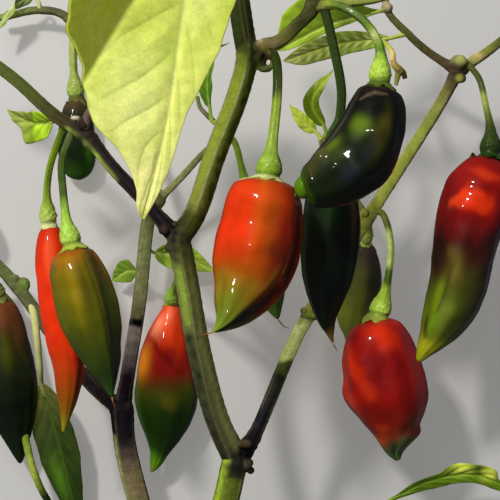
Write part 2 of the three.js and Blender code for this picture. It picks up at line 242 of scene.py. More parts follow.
def writeMesh(mesh, spots, tones):
    mesh.vertices.foreach_set("co", ((spots + view["middle"]) / metre).ravel())
    if "tone" not in mesh.attributes:
        mesh.attributes.new("tone", "FLOAT_COLOR", "POINT")
    whole = np.ones((len(tones), 4))
    whole[:, :3] = np.clip(tones, 0, 1)
    mesh.attributes["tone"].data.foreach_set("color", whole.ravel())


def rolledGrid(name, around, along, shapeOf):
    # shapeOf turns the grid's u (around) and v (along) into places and colours
    bm = bmesh.new()
    bm.loops.layers.uv.new("flat")
    bmesh.ops.create_grid(bm, x_segments=around, y_segments=along, size=1, calc_uvs=True)
    mesh = meshFrom(bm, name)
    u, v = (vectorsOf(mesh, "co").T[:2] + 1) / 2
    writeMesh(mesh, *shapeOf(u, v))
    bm = bmesh.new()
    bm.from_mesh(mesh)
    bmesh.ops.remove_doubles(bm, verts=bm.verts, dist=grain["weld"])
    bmesh.ops.recalc_face_normals(bm, faces=bm.faces)
    bm.to_mesh(mesh)
    bm.free()
    return mesh


blobOrder = Vector((1, 7.3, 53.1))


def blob(name, place, sizes, code="#000000"):
    bm = bmesh.new()
    bmesh.ops.create_uvsphere(bm, u_segments=grain["blobSides"], v_segments=grain["blobRings"], radius=1)
    # sorted along one direction, as the operator numbers its corners differently each run
    bm.verts.sort(key=lambda corner: corner.co.dot(blobOrder))
    bm.faces.sort(key=lambda face: face.calc_center_median().dot(blobOrder))
    bmesh.ops.scale(bm, vec=sizes, verts=bm.verts)
    bmesh.ops.translate(bm, vec=place, verts=bm.verts)
    mesh = meshFrom(bm, name)
    writeMesh(mesh, vectorsOf(mesh, "co"), np.tile(tint(code), (len(mesh.vertices), 1)))
    return mesh


def joined(name, meshes):
    bm = bmesh.new()
    for mesh in meshes:
        bm.from_mesh(mesh)
    return meshFrom(bm, name)


def addPiece(name, mesh, finish, slot, *nodes):
    mesh.polygons.foreach_set("use_smooth", [True] * len(mesh.polygons))
    mesh.materials.append(finish)
    piece = bpy.data.objects.new(name, mesh)
    bpy.context.scene.collection.objects.link(piece)
    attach(piece, "root")
    if nodes:
        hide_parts(*nodes)


# crowding: how much the rings gather near the two ends; endSharpness: how suddenly the ends close
tubeBuild = {"crowding": 0.35, "endSharpness": 40, "rippleSize": 3, "rippleSeed": 5}


def tube(name, path, around, along, radiusAt, toneAt, ripples=0):
    # a closed tube with round ends
    def shapeOf(u, v):
        crowding = tubeBuild["crowding"]
        share = crowding * (1 - np.cos(v * math.pi)) / 2 + (1 - crowding) * v
        centre, _, up, side = at(path, share)
        angle = 2 * math.pi * u
        radius = radiusAt(share) * np.sqrt(np.clip(1 - (2 * v - 1) ** tubeBuild["endSharpness"], 0, 1))
        spots = ringSpots(centre, side, up, angle, radius)
        if ripples:
            uneven = ripple(spots, tubeBuild["rippleSize"], tubeBuild["rippleSeed"])
            spots = ringSpots(centre, side, up, angle, radius * (1 + ripples * uneven))
        return spots, toneAt(share, spots)
    return rolledGrid(name, around, along, shapeOf)


# finishes

finishBuild = {"coatIor": 1.4, "cloudDetail": 3, "cloudRange": (0.3, 0.7), "speckleDetail": 2,
               "speckleRange": (0.35, 0.7), "bumpDetail": 4}


def toneFinish(name, facts):
    finish = bpy.data.materials.new(name)
    finish.use_nodes = True
    tree = finish.node_tree
    shader = tree.nodes["Principled BSDF"]
    shader.inputs["Coat Weight"].default_value = facts["coat"]
    shader.inputs["Coat Roughness"].default_value = facts["coatRoughness"]
    shader.inputs["Coat IOR"].default_value = finishBuild["coatIor"]
    shader.inputs["Specular IOR Level"].default_value = facts["specular"]
    tone = tree.nodes.new("ShaderNodeAttribute")
    tone.attribute_name = "tone"
    spots = tree.nodes.new("ShaderNodeTexCoord")

    def noise(size, detail):
        # size in millimetres
        texture = tree.nodes.new("ShaderNodeTexNoise")
        texture.inputs["Scale"].default_value = metre / size
        texture.inputs["Detail"].default_value = detail
        tree.links.new(spots.outputs["Object"], texture.inputs["Vector"])
        return texture.outputs["Fac"]

    def spread(value, fromLow, fromHigh, low, high):
        ranger = tree.nodes.new("ShaderNodeMapRange")
        numbers = {"From Min": fromLow, "From Max": fromHigh, "To Min": low, "To Max": high}
        for key, number in numbers.items():
            ranger.inputs[key].default_value = number
        tree.links.new(value, ranger.inputs["Value"])
        return ranger.outputs["Result"]

    def multiplied(first, second):
        mixer = tree.nodes.new("ShaderNodeMix")
        mixer.data_type = "RGBA"
        mixer.blend_type = "MULTIPLY"
        mixer.inputs["Factor"].default_value = 1
        sockets = [socket for socket in mixer.inputs if socket.type == "RGBA"]
        tree.links.new(first, sockets[0])
        tree.links.new(second, sockets[1])
        return [socket for socket in mixer.outputs if socket.type == "RGBA"][0]

    cloud = noise(facts["cloudSize"], finishBuild["cloudDetail"])
    cloudDepth, speckleDepth = facts["cloudDepth"], facts["speckleDepth"]
    mottle = spread(cloud, *finishBuild["cloudRange"], 1 - cloudDepth, 1 + cloudDepth)
    coloured = multiplied(tone.outputs["Color"], mottle)
    speckle = noise(facts["speckleSize"], finishBuild["speckleDetail"])
    speckle = spread(speckle, *finishBuild["speckleRange"], 1 - speckleDepth, 1 + speckleDepth)
    tree.links.new(multiplied(coloured, speckle), shader.inputs["Base Color"])
    gloss = spread(cloud, *finishBuild["cloudRange"], *facts["roughness"])
    tree.links.new(gloss, shader.inputs["Roughness"])
    bump = tree.nodes.new("ShaderNodeBump")
    bump.inputs["Strength"].default_value = facts["bump"]
    bump.inputs["Distance"].default_value = facts["bumpDepth"] / metre
    tree.links.new(noise(facts["bumpSize"], finishBuild["bumpDetail"]), bump.inputs["Height"])
    tree.links.new(bump.outputs["Normal"], shader.inputs["Normal"])
    return finish


podSkin = toneFinish("podSkin", {
    "coat": 0.4, "coatRoughness": 0.06, "specular": 0.08, "roughness": (0.42, 0.56),
    "cloudSize": 5, "cloudDepth": 0.09, "speckleSize": 0.5, "speckleDepth": 0.05,
    "bump": 0.25, "bumpSize": 2.2, "bumpDepth": 0.12,
})
stalkSkin = toneFinish("stalkSkin", {
    "coat": 0.25, "coatRoughness": 0.16, "specular": 0.15, "roughness": (0.4, 0.55),
    "cloudSize": 2.4, "cloudDepth": 0.16, "speckleSize": 0.5, "speckleDepth": 0.16,
    "bump": 0.5, "bumpSize": 0.8, "bumpDepth": 0.16,
})
greenBark = toneFinish("greenBark", {
    "coat": 0.02, "coatRoughness": 0.35, "specular": 0.12, "roughness": (0.5, 0.7),
    "cloudSize": 2.6, "cloudDepth": 0.15, "speckleSize": 0.45, "speckleDepth": 0.19,
    "bump": 0.6, "bumpSize": 0.7, "bumpDepth": 0.2,
})
greyBark = toneFinish("greyBark", {
    "coat": 0, "coatRoughness": 0.35, "specular": 0.1, "roughness": (0.55, 0.75),
    "cloudSize": 2.6, "cloudDepth": 0.2, "speckleSize": 0.6, "speckleDepth": 0.24,
    "bump": 0.6, "bumpSize": 0.8, "bumpDepth": 0.22,
})
leafSkin = toneFinish("leafSkin", {
    "coat": 0.06, "coatRoughness": 0.3, "specular": 0.15, "roughness": (0.45, 0.6),
    "cloudSize": 3.4, "cloudDepth": 0.1, "speckleSize": 0.8, "speckleDepth": 0.07,
    "bump": 0.45, "bumpSize": 0.9, "bumpDepth": 0.14,
})
print("finishes ready")


# pods: the axis from the top to the tip and, at podShares of it, how far the skin lies from it
# on the viewer's left and right; right is as left where it isn't given.
# Angles go from the viewer's left (0) over the front (90) to the right (180) and the back (270).
# stalk: its places from the limb to the pod
# facets: angle, how near the flat face is, from share, to share
# dents: angle, share, half angle, half share, depth in mm
# marks: angle, share, half angle, half share, colour, strength; some marks and bands are painted light and
# shade
# bands: from angle and share to angle and share, half width in mm, colour, strength

podShares = [0, 0.06, 0.14, 0.25, 0.4, 0.55, 0.7, 0.8, 0.88, 0.95, 1]
pods = {
    "front_pod": {
        "axis": [[5.8, 23.5, 83.5], [3.4, 5, 84.3], [-1, -12.9, 89.5], [-11.8, -26.35, 102]],
        "left": [9.3, 11.4, 12.7, 14, 14.6, 13.8, 10.6, 7.5, 3.5, 1.2, 0.4],
        "right": [8.9, 11, 12.9, 13.9, 14.4, 12.3, 8.1, 6.2, 4.3, 2.4, 0.6],
        "stalk": [[6.4, 69, 77.5], [9.1, 63, 78.5], [9.1, 50.4, 81], [7.2, 33.4, 83.3]],
        "slot": "red_skin", "cap": 6.2, "bulb": 4.2, "flare": 1.4,
        "facets": [
            (166, 0.82, 0.04, 1), (38, 0.93, 0.15, 1), (104, 0.95, 0.2, 1), (290, 0.88, 0, 1),
            (235, 0.9, 0, 1),
        ],
        "dents": [
            (30, 0.78, 30, 0.1, 0.6), (80, 0.1, 70, 0.1, -1.2), (80, 0.3, 60, 0.12, 0.8),
            (62, 0.74, 18, 0.12, -0.8), (80, 0.44, 12, 0.06, -0.6), (112, 0.07, 20, 0.08, -0.9),
            (48, 0.07, 16, 0.08, -0.6),
        ],
        "tones": [
            (0, "#b42e06"), (0.08, "#cb3004"), (0.35, "#cc2c02"), (0.5, "#b23202"), (0.6, "#9c4404"),
            (0.68, "#885e0c"), (0.8, "#6c6810"), (0.92, "#5c7018"), (1, "#7c8c24"),
        ],
        "marks": [
            (84, 0.2, 11, 0.3, "#bf5207", 0.75), (102, 0.28, 12, 0.34, "#8a430b", 0.8),
            # the dark reds at 112 and 122 degrees are painted shadow, and the dark marks at 150 to 172
            # degrees are painted shade on the right flank
            (122, 0.4, 14, 0.3, "#471208", 0.9), (112, 0.46, 12, 0.1, "#571a06", 0.8),
            (128, 0.08, 18, 0.1, "#8c3208", 0.7), (165, 0.4, 22, 0.7, "#3c1710", 0.95),
            (150, 0.85, 26, 0.24, "#1f2c0b", 0.95), (172, 0.76, 24, 0.28, "#1f2219", 0.9),
            (60, 0.1, 16, 0.1, "#cc3a0a", 0.5), (4, 0.3, 14, 0.5, "#8a2a07", 0.6),
            (90, 0.6, 16, 0.1, "#a44a04", 0.7), (100, 0.74, 14, 0.12, "#6e5a0e", 0.6),
            (128, 0.68, 10, 0.14, "#7a5012", 0.6), (270, 0.3, 60, 0.4, "#8c1c08", 0.6),
        ],
        "thread": [[-11.8, -26.35, 102], [-13.8, -27, 102], [-15.8, -27.7, 101.6], [-17.2, -28.7, 101]],
    },
    "bent_pod": {
        "axis": [[42.5, 54, 92], [39.2, 38.6, 92.7], [30.6, 25.8, 94], [16.4, 20.6, 94]],
        "left": [5.5, 7, 8.7, 10.1, 11.2, 11.7, 11.6, 10.6, 8.2, 5.5, 3],
        "right": [5.9, 8.2, 9.9, 10.8, 12, 12.6, 10.6, 9.6, 8.6, 7.3, 4],
        "stalk": [[25.8, 82.4, 82], [30.8, 80.5, 88], [38.2, 74.7, 91], [42.7, 66, 92]],
        "slot": "dark_green_skin", "pedicel": 1.4, "cap": 5.4,
        "nub": {"place": (17.4, 20.4, 94.8), "sizes": (3, 3.7, 3), "tone": "#4a6c0a"},
        "facets": [(18, 0.9, 0.1, 0.9), (150, 0.94, 0.05, 0.9), (265, 0.93, 0, 1)],
        "dents": [
            (60, 0.89, 60, 0.025, 0.8), (100, 0.78, 40, 0.1, 0.4), (60, 0.45, 20, 0.1, 0.3),
            (80, 0.1, 50, 0.03, 0.3), (44, 0.84, 18, 0.08, -1.6), (86, 0.76, 8, 0.04, -0.6),
            (108, 0.64, 16, 0.06, -1.9), (98, 0.36, 12, 0.05, -1.2),
        ],
        "tones": [
            (0, "#2a1612"), (0.06, "#1c1110"), (0.12, "#0d0e0b"), (0.35, "#0f1309"), (0.6, "#12190a"),
            (0.93, "#141f0a"), (0.97, "#2c4c0a"), (1, "#3f720a"),
        ],
        "marks": [
            (68, 0.34, 18, 0.1, "#566f10", 0.85), (106, 0.34, 14, 0.17, "#464512", 0.85),
            (44, 0.64, 14, 0.12, "#506410", 0.9), (18, 0.5, 6, 0.4, "#5c5030", 0.5),
            (36, 0.8, 24, 0.11, "#504e26", 0.9), (52, 0.88, 24, 0.06, "#3c3c1a", 0.7),
            # the blue-grey marks at 100 and 104 degrees are a painted reflection
            (66, 0.66, 13, 0.1, "#2e3c0c", 0.7), (104, 0.68, 14, 0.08, "#1c222a", 0.8),
            (100, 0.5, 9, 0.09, "#1a2028", 0.6), (80, 0.2, 30, 0.07, "#090a08", 0.8),
            (160, 0.4, 18, 0.5, "#1b100f", 0.7),
        ],
        "bands": [
            # the tan arc over the top is a painted reflection
            (46, 0.13, 58, 0.1, 0.5, "#6c5a44", 0.45), (58, 0.1, 74, 0.08, 0.5, "#6c5a44", 0.45),
            (74, 0.08, 104, 0.082, 0.45, "#6c5a44", 0.45),
        ],
    },
    "dark_pod": {
        "axis": [[29.8, 36.4, 60], [28.5, 13.3, 60], [26.7, -9.7, 60], [29.1, -32.6, 60]],
        "left": [5.6, 5.9, 7.5, 9.2, 9.7, 9.3, 7.7, 6, 4.4, 2, 0.4],
        "right": [5.5, 5.8, 7.2, 9.1, 10.7, 10.8, 8.9, 5.4, 2.2, 0.7, 0.3],
        "stalk": [[24.9, 81.5, 80.5], [26.9, 74.8, 78], [31, 58, 71], [31.5, 48.8, 66]],
        "slot": "dark_green_skin",
        "facets": [(62, 0.92, 0.1, 1), (128, 0.9, 0.1, 1), (10, 0.93, 0.1, 1), (270, 0.9, 0, 1)],
        "dents": [(100, 0.7, 14, 0.25, 0.5)],
        "tones": [
            (0, "#0f1a0c"), (0.35, "#0c160b"), (0.5, "#0b110c"), (0.8, "#0c110d"), (0.93, "#161c0f"),
            (1, "#7a5a18"),
        ],
        "marks": [
            (142, 0.32, 8, 0.16, "#4c352a", 0.7), (80, 0.28, 22, 0.12, "#16300d", 0.7),
            (150, 0.6, 12, 0.2, "#1c2416", 0.6), (14, 0.5, 12, 0.4, "#20301a", 0.5),
        ],
        "thread": [[29.1, -32.6, 60], [29.8, -34, 60], [30.6, -35.6, 59.6]],
    },
    "shaded_pod": {
        "axis": [[43.5, 2.2, 24], [41.9, -10.3, 17.7], [40, -23.4, 12], [37.8, -36.6, 6]],
        "left": [3.4, 4.4, 5.8, 7.6, 8.3, 7.7, 6.8, 5.3, 2.9, 1.4, 0.5],
        "stalk": [[41.5, 9, 41.5], [43.5, 9.5, 36], [44.3, 7, 30]], "slot": "olive_skin", "cap": 2.6,
        "bulb": 1.7, "pedicel": 1.3,
        "facets": [(60, 0.95, 0.1, 1), (130, 0.93, 0.1, 1), (260, 0.92, 0, 1)],
        "tones": [(0, "#443038"), (0.12, "#4c4038"), (0.3, "#565630"), (0.6, "#787e28"), (1, "#76842c")],
        "marks": [(135, 0.3, 24, 0.2, "#2a3022", 0.8), (80, 0.4, 24, 0.3, "#5c6628", 0.6)],
    },
    "lumpy_pod": {
        "axis": [[46.4, -24.7, 42], [48.5, -42, 42], [50, -59.4, 42], [53.3, -76.5, 42]],
        "left": [6, 10.1, 12.8, 14.6, 15, 15.1, 9.6, 6.4, 4.6, 2.6, 0.5],
        "right": [5.6, 8.5, 10.6, 12.6, 14.6, 15.3, 13.2, 9.8, 7.6, 2.8, 1.2],
        "stalk": [[44.5, 14.5, 41], [48.6, 12.2, 41.8], [51.1, 1, 42], [49.4, -13.5, 42]],
        "slot": "red_skin", "cap": 6.2, "flare": 0.4, "pedicel": 1.2,
        "facets": [(75, 0.97, 0.15, 0.9), (150, 0.93, 0.1, 0.8), (15, 0.95, 0.1, 0.7), (265, 0.9, 0, 1)],
        "dents": [
            (76, 0.09, 40, 0.08, -1), (75, 0.92, 14, 0.05, 0.7), (45, 0.95, 16, 0.04, -0.5),
            (70, 0.72, 16, 0.18, 0.9), (85, 0.42, 12, 0.3, 0.9), (172, 0.83, 26, 0.045, -1.6),
            (150, 0.92, 30, 0.05, 0.6), (40, 0.35, 14, 0.2, -0.6), (120, 0.6, 18, 0.2, -0.6),
            (20, 0.5, 18, 0.06, 0.6), (110, 0.93, 40, 0.05, 0.6), (110, 0.78, 12, 0.05, 0.6),
            (60, 0.84, 18, 0.04, -0.5),
        ],
        "tones": [
            (0, "#a01c0c"), (0.1, "#8e100a"), (0.35, "#7c0a08"), (0.6, "#84100a"), (0.74, "#7a160c"),
            (0.8, "#702410"), (0.84, "#643018"), (0.88, "#4c4a24"), (1, "#3c5430"),
        ],
        "marks": [
            (88, 0.08, 24, 0.05, "#c82c10", 0.9), (106, 0.15, 20, 0.07, "#c82c0c", 0.9),
            (22, 0.58, 18, 0.08, "#bc2c06", 0.9), (112, 0.88, 26, 0.06, "#4a5430", 0.8),
            (58, 0.74, 16, 0.045, "#a8300a", 0.85), (150, 0.35, 26, 0.4, "#b82222", 0.9),
            (120, 0.72, 18, 0.07, "#7a2a0c", 0.7), (24, 0.83, 26, 0.06, "#b03a06", 0.85),
            (30, 0.14, 22, 0.06, "#5e0c0e", 0.6), (112, 0.42, 12, 0.25, "#64060a", 0.7),
            (76, 0.32, 16, 0.14, "#62060a", 0.55), (6, 0.35, 16, 0.2, "#c42c06", 0.85),
            (80, 0.95, 60, 0.05, "#42562c", 0.8),
        ],
        "bands": [(20, 0.16, 44, 0.34, 2.6, "#c02a06", 0.9), (44, 0.34, 66, 0.5, 2.2, "#a82408", 0.75)],
    },
    "long_pod": {
        "axis": [[86, 33, 48], [78.3, 8.1, 49.2], [71.7, -16.9, 52.9], [59.2, -39.5, 57]],
        "left": [5.8, 9, 12.2, 12.7, 11.5, 10.2, 8.8, 7, 4.4, 2.6, 0.8],
        "right": [6.5, 10.3, 12.6, 13, 11.6, 11.2, 10.4, 8.2, 5.6, 2.7, 0.8],
        "stalk": [[79.3, 68.6, 36.8], [83.5, 62, 40], [85.4, 52, 43], [86.6, 43, 46]],
        "slot": "red_skin", "pedicel": 1.1, "cap": 6,
        "facets": [(30, 0.93, 0.1, 1), (100, 0.965, 0.1, 0.9), (160, 0.94, 0.1, 1), (270, 0.92, 0, 1)],
        "dents": [
            (60, 0.17, 30, 0.02, 0.25), (58, 0.285, 14, 0.04, -1), (50, 0.62, 16, 0.16, 0.5),
            (72, 0.6, 12, 0.08, -0.4), (46, 0.73, 12, 0.07, -0.4), (75, 0.9, 40, 0.05, 0.3),
            (70, 0.33, 30, 0.04, 0.3),
        ],
        "tones": [
            (0, "#6e0e0c"), (0.08, "#860f0c"), (0.28, "#7c0d0b"), (0.36, "#641010"), (0.44, "#340e0d"),
            (0.52, "#35210f"), (0.58, "#3a3311"), (0.66, "#3c4410"), (0.75, "#48560f"), (0.86, "#56600f"),
            (0.93, "#7c7e10"), (1, "#8c900e"),
        ],
        "marks": [
            # the bright orange marks at 76 and 48 degrees are painted light on the lit shoulder, over the
            # pod's own orange-red
            (76, 0.235, 30, 0.035, "#d83008", 1), (82, 0.105, 30, 0.03, "#c03010", 0.9),
            (48, 0.26, 14, 0.03, "#d43408", 0.9), (60, 0.81, 20, 0.09, "#5c7c14", 0.8),
            (32, 0.83, 9, 0.05, "#2c240e", 0.8), (72, 0.58, 15, 0.09, "#5c5216", 0.85),
            (60, 0.48, 16, 0.05, "#5a4a1c", 0.7), (45, 0.69, 14, 0.09, "#68780f", 0.85),
            (24, 0.5, 20, 0.12, "#2c1412", 0.8), (80, 0.76, 16, 0.07, "#6a7422", 0.8),
            (110, 0.8, 14, 0.12, "#26340d", 0.8), (46, 0.875, 14, 0.02, "#4c4010", 0.7),
            (150, 0.45, 30, 0.3, "#3a1216", 0.8), (66, 0.93, 34, 0.03, "#98981c", 0.8),
            (150, 0.15, 30, 0.12, "#64100e", 0.6), (128, 0.66, 20, 0.2, "#2c2a15", 0.8),
        ],
        "bands": [
            # the first two bands are painted light along the lit shoulder, over the pod's own orange-red
            (36, 0.275, 58, 0.19, 1.3, "#dc3c0c", 0.9), (58, 0.19, 104, 0.22, 1.2, "#d03008", 0.9),
            (62, 0.55, 60, 0.76, 0.7, "#2a2c0e", 0.6),
        ],
    },
    "slim_pod": {
        "axis": [[-72.7, 8.7, 43], [-70.4, -16.4, 43], [-66.4, -41.3, 43], [-67.7, -66.2, 43]],
        "left": [2.9, 4.7, 5.9, 6.1, 6.3, 6.2, 4.7, 3.4, 2, 0.9, 0.3],
        "right": [3.8, 5.4, 6.2, 6.4, 6.1, 6.3, 6.3, 5, 3.4, 1.8, 0.5],
        "stalk": [[-64.5, 44, 62.5], [-69.8, 31.7, 57], [-72.4, 23, 50], [-73, 15, 45]],
        "slot": "red_skin", "pedicel": 1.2, "flare": 0.3,
        "facets": [(40, 0.95, 0.1, 1), (150, 0.9, 0.4, 1), (270, 0.92, 0, 1)],
        "dents": [(140, 0.62, 20, 0.1, -0.4), (80, 0.12, 14, 0.06, -0.3)],
        "tones": [
            (0, "#9c1c08"), (0.05, "#c02808"), (0.2, "#d62e0a"), (0.5, "#d42c06"), (0.66, "#b83306"),
            (0.8, "#904008"), (0.9, "#7c5a08"), (1, "#8e8a1c"),
        ],
        "marks": [
            (152, 0.7, 16, 0.2, "#6a100a", 0.8), (124, 0.6, 12, 0.12, "#a8160c", 0.7),
            # the pale orange mark at 88 degrees is a painted highlight
            (110, 0.3, 16, 0.3, "#dc3c08", 0.6), (88, 0.16, 20, 0.12, "#ee5c34", 0.6),
        ],
    },
    "olive_pod": {
        "axis": [[-61.5, 0.7, 64], [-57.5, -16.7, 64], [-53.3, -34.1, 64], [-48, -51.1, 64]],
        "left": [6.3, 8.5, 10, 10.4, 10.7, 9.4, 6.6, 4.8, 2.9, 1.3, 0.5],
        "right": [5, 7.1, 8.8, 10.2, 11, 10.4, 8.3, 6.5, 4.2, 2, 0.5],
        "stalk": [[-61.5, 42, 64], [-65.3, 31.3, 64], [-65, 20.9, 64], [-63.6, 9, 64]],
        "slot": "olive_skin", "cap": 5, "pedicel": 1.3, "flare": 0.45,
        "facets": [(150, 0.84, 0.03, 1), (40, 0.95, 0.2, 1), (95, 0.97, 0.15, 1), (270, 0.9, 0, 1)],
        "dents": [(150, 0.45, 14, 0.25, 0.4), (76, 0.2, 8, 0.15, 0.15)],
        "tones": [
            (0, "#8a440b"), (0.05, "#92600b"), (0.14, "#7c6408"), (0.3, "#665f07"), (0.5, "#4e540a"),
            (0.66, "#3c460f"), (0.85, "#263a12"), (1, "#2a4e12"),
        ],
        "marks": [
            (154, 0.3, 20, 0.4, "#3c4420", 0.95), (155, 0.75, 26, 0.24, "#24321a", 0.9),
            (40, 0.1, 14, 0.04, "#5a4430", 0.6), (104, 0.3, 10, 0.24, "#403e07", 0.8),
            (80, 0.26, 9, 0.24, "#86710a", 0.7), (120, 0.28, 8, 0.3, "#4a5210", 0.6),
            (20, 0.2, 24, 0.12, "#55560e", 0.6), (160, 0.14, 12, 0.1, "#5a2c0c", 0.6),
        ],
        "bands": [(128, 0.1, 128, 0.62, 0.5, "#8a7838", 0.6)],
        "thread": [[-48, -51.1, 64], [-47.5, -53.2, 64], [-46.9, -55.4, 63.8]],
    },
    "ripening_pod": {
        "axis": [[-29.8, -20.2, 14], [-32.2, -42.1, 12.2], [-32.6, -64.1, 11.9], [-37.9, -85.3, 11]],
        "left": [2.6, 4.2, 6.6, 9, 10.9, 11.9, 9.8, 5.9, 2.6, 1.2, 0.4],
        "right": [3, 4.4, 6, 8.2, 10.9, 12.4, 9.6, 6.7, 4.4, 2.8, 0.5],
        "stalk": [[-22.5, -5, 67], [-23.8, -8, 50], [-26.6, -11.1, 32], [-28.6, -15, 21]],
        "slot": "red_skin",
        "facets": [(60, 0.95, 0.1, 0.9), (130, 0.94, 0.1, 0.9), (265, 0.9, 0, 1)],
        "dents": [(100, 0.5, 20, 0.3, 0.3)],
        "tones": [
            (0, "#c84a2a"), (0.12, "#dc4420"), (0.2, "#cc3410"), (0.27, "#a01c10"), (0.38, "#84160f"),
            (0.46, "#5a3410"), (0.53, "#3e460d"), (0.62, "#1f3a0c"), (0.85, "#1f3c0c"), (0.92, "#4c7c0c"),
            (1, "#7c8c18"),
        ],
        "marks": [
            # the salmon marks at 84 and 48 degrees are painted highlights
            (84, 0.07, 24, 0.06, "#f2694a", 0.9), (48, 0.15, 24, 0.07, "#f28a66", 0.85),
            (32, 0.35, 24, 0.1, "#f49020", 0.95), (126, 0.2, 24, 0.1, "#d8380c", 0.85),
            (104, 0.33, 14, 0.08, "#98181c", 0.85), (96, 0.55, 18, 0.05, "#5c5a10", 0.8),
            (20, 0.47, 24, 0.08, "#6c640c", 0.8), (16, 0.66, 22, 0.2, "#36620c", 0.8),
        ],
        # the dark diagonal bands are painted shadow
        "bands": [(20, 0.2, 66, 0.24, 1.2, "#8c2410", 0.6), (66, 0.24, 104, 0.34, 1.4, "#6c100e", 0.6)],
    },
    "small_pod": {
        "axis": [[-66.9, 57.9, 8], [-67, 47.4, 7.6], [-66.8, 37, 7.4], [-65.8, 27, 7.2]],
        "left": [3.9, 4.6, 5.4, 6.3, 7, 7.2, 7.1, 6.6, 5.5, 3.9, 2.2],
        "stalk": [[-66.6, 87, 13], [-67.8, 78.5, 12], [-67.8, 69, 10.5]],
        "slot": "dark_green_skin", "facets": [(120, 0.95, 0.1, 1), (270, 0.92, 0, 1)],
        "tones": [
            (0, "#4c3c1c"), (0.1, "#3c3420"), (0.2, "#22241a"), (0.45, "#141c14"), (0.75, "#17280f"),
            (0.92, "#284c10"), (1, "#34680f"),
        ],
        "marks": [(150, 0.6, 26, 0.35, "#34620f", 0.8)],
    },
    "edge_pod": {
        "axis": [[-95.4, -19.1, 13], [-93.9, -40.2, 11.8], [-91.2, -61.1, 11.4], [-88.1, -82, 11]],
        "left": [4.6, 5.7, 7.5, 9.3, 10.9, 11, 8.5, 6, 3.8, 2, 0.5],
        "right": [4.6, 6.4, 8.2, 9.6, 10.8, 11, 9, 6.6, 4.4, 2.4, 0.5],
        "stalk": [[-94.5, -7, 20], [-97.5, -9.5, 18], [-97.5, -14, 15]],
        "slot": "dark_green_skin",
        "facets": [(60, 0.94, 0.1, 1), (128, 0.93, 0.1, 1), (265, 0.9, 0, 1)],
        "tones": [
            (0, "#6e3c1c"), (0.12, "#553016"), (0.24, "#33280f"), (0.4, "#1a220c"), (0.65, "#0c130a"),
            (1, "#15220e"),
        ],
        "marks": [(104, 0.3, 14, 0.12, "#434a0c", 0.8), (140, 0.2, 20, 0.1, "#4a2a14", 0.6)],
    },
    "hidden_pod": {
        "axis": [[-0.5, 17.5, 29], [2.5, 4, 27], [6, -10.5, 25], [10.5, -26, 22]],
        "left": [3.7, 4.7, 6.1, 7.8, 9, 8.9, 7.1, 5.2, 3.4, 1.8, 0.5],
        "stalk": [[-8, 43, 29.8], [-5.3, 39, 30.4], [-3.2, 31, 30.3], [-1.6, 24, 29.6]],
        "slot": "olive_skin", "pedicel": 1.15,
        "facets": [(60, 0.94, 0.1, 1), (130, 0.94, 0.1, 1), (265, 0.92, 0, 1)],
        "tones": [(0, "#2f4a14"), (0.5, "#34520f"), (0.85, "#45621a"), (0.95, "#567420"), (1, "#6e3a1a")],
        "thread": [[10.5, -26, 22], [12.5, -28.5, 21.5], [14.8, -29.6, 21]],
    },
}
podBuild = {
    "shoulder": 2.4, "shoulderShare": 0.13, "shoulderRound": 0.8,
    "ridgeWidth": 0.016, "facetOuter": 0.1, "facetInner": 0.12, "steepest": 0.05, "softest": 30,
    "skinRipple": 0.13, "skinSize": 7, "fineRipple": 0.03, "fineSize": 2.6,
    "flutes": 9, "fluteDepth": 0.1, "fluteStart": (0.4, 0.7),
    "wander": 0.02, "wanderSize": 9, "markEdge": 1.4, "bandEdge": 2.6, "mmPerDegree": 0.2, "bandLength": 55,
    "threadWidth": 0.28, "threadTaper": (1.15, 0.8),
    "threadTones": [(0, "#a8842a"), (0.4, "#7a4a1e"), (1, "#4a2c18")],
}


def podOutline(facts, v, length):
    # share of the length and the two half widths for each v: a rounded shoulder, the long body
    # and a rounded tip
    shoulder = podBuild["shoulder"] / length
    turn = np.clip(v / podBuild["shoulderShare"], 0, 1) * math.pi / 2
    body = np.clip((v - podBuild["shoulderShare"]) / (1 - podBuild["shoulderShare"]), 0, 1)
    share = shoulder * (1 - np.cos(turn)) + (1 - shoulder) * body
    tipStart = 1 - facts["left"][-1] / length
    tip = np.clip((share - tipStart) / (1 - tipStart), 0, 1)
    closing = np.sin(turn) ** podBuild["shoulderRound"] * np.sqrt(1 - tip * tip)
    left = smoothValue(podShares, facts["left"], share) * closing
    right = smoothValue(podShares, facts.get("right", facts["left"]), share) * closing
    return share, left, right


def turnGap(angle, centre):
    # the gap between two angles in degrees, -180 to 180
    return (angle - centre + 180) % 360 - 180


def podSection(facts, angle, share, v):
    # across and deep of a circle that the facets cut flat, stretched back to its whole width
    shape = np.ones_like(angle)
    sharp = podBuild["ridgeWidth"]
    softest = podBuild["softest"]
    for centre, near, start, end in facts["facets"]:
        held = window(share, start, end, podBuild["facetOuter"], podBuild["facetInner"])
        slope = np.cos(np.radians(turnGap(angle, centre)))
        toFace = (1 + (near - 1) * held) / np.maximum(slope, podBuild["steepest"])
        gap = np.clip((toFace - shape) / sharp, -softest, softest)
        shape = shape - sharp * np.log1p(np.exp(-gap))
    across = shape * np.cos(np.radians(angle))
    deep = shape * np.sin(np.radians(angle))
    row = np.rint(v * grain["podRings"]).astype(int)
    widest = np.zeros(row.max() + 1)
    narrowest = np.zeros(row.max() + 1)
    np.maximum.at(widest, row, across)
    np.minimum.at(narrowest, row, across)
    middle = (widest + narrowest)[row] / 2
    return (across - middle) * 2 / (widest - narrowest)[row], deep


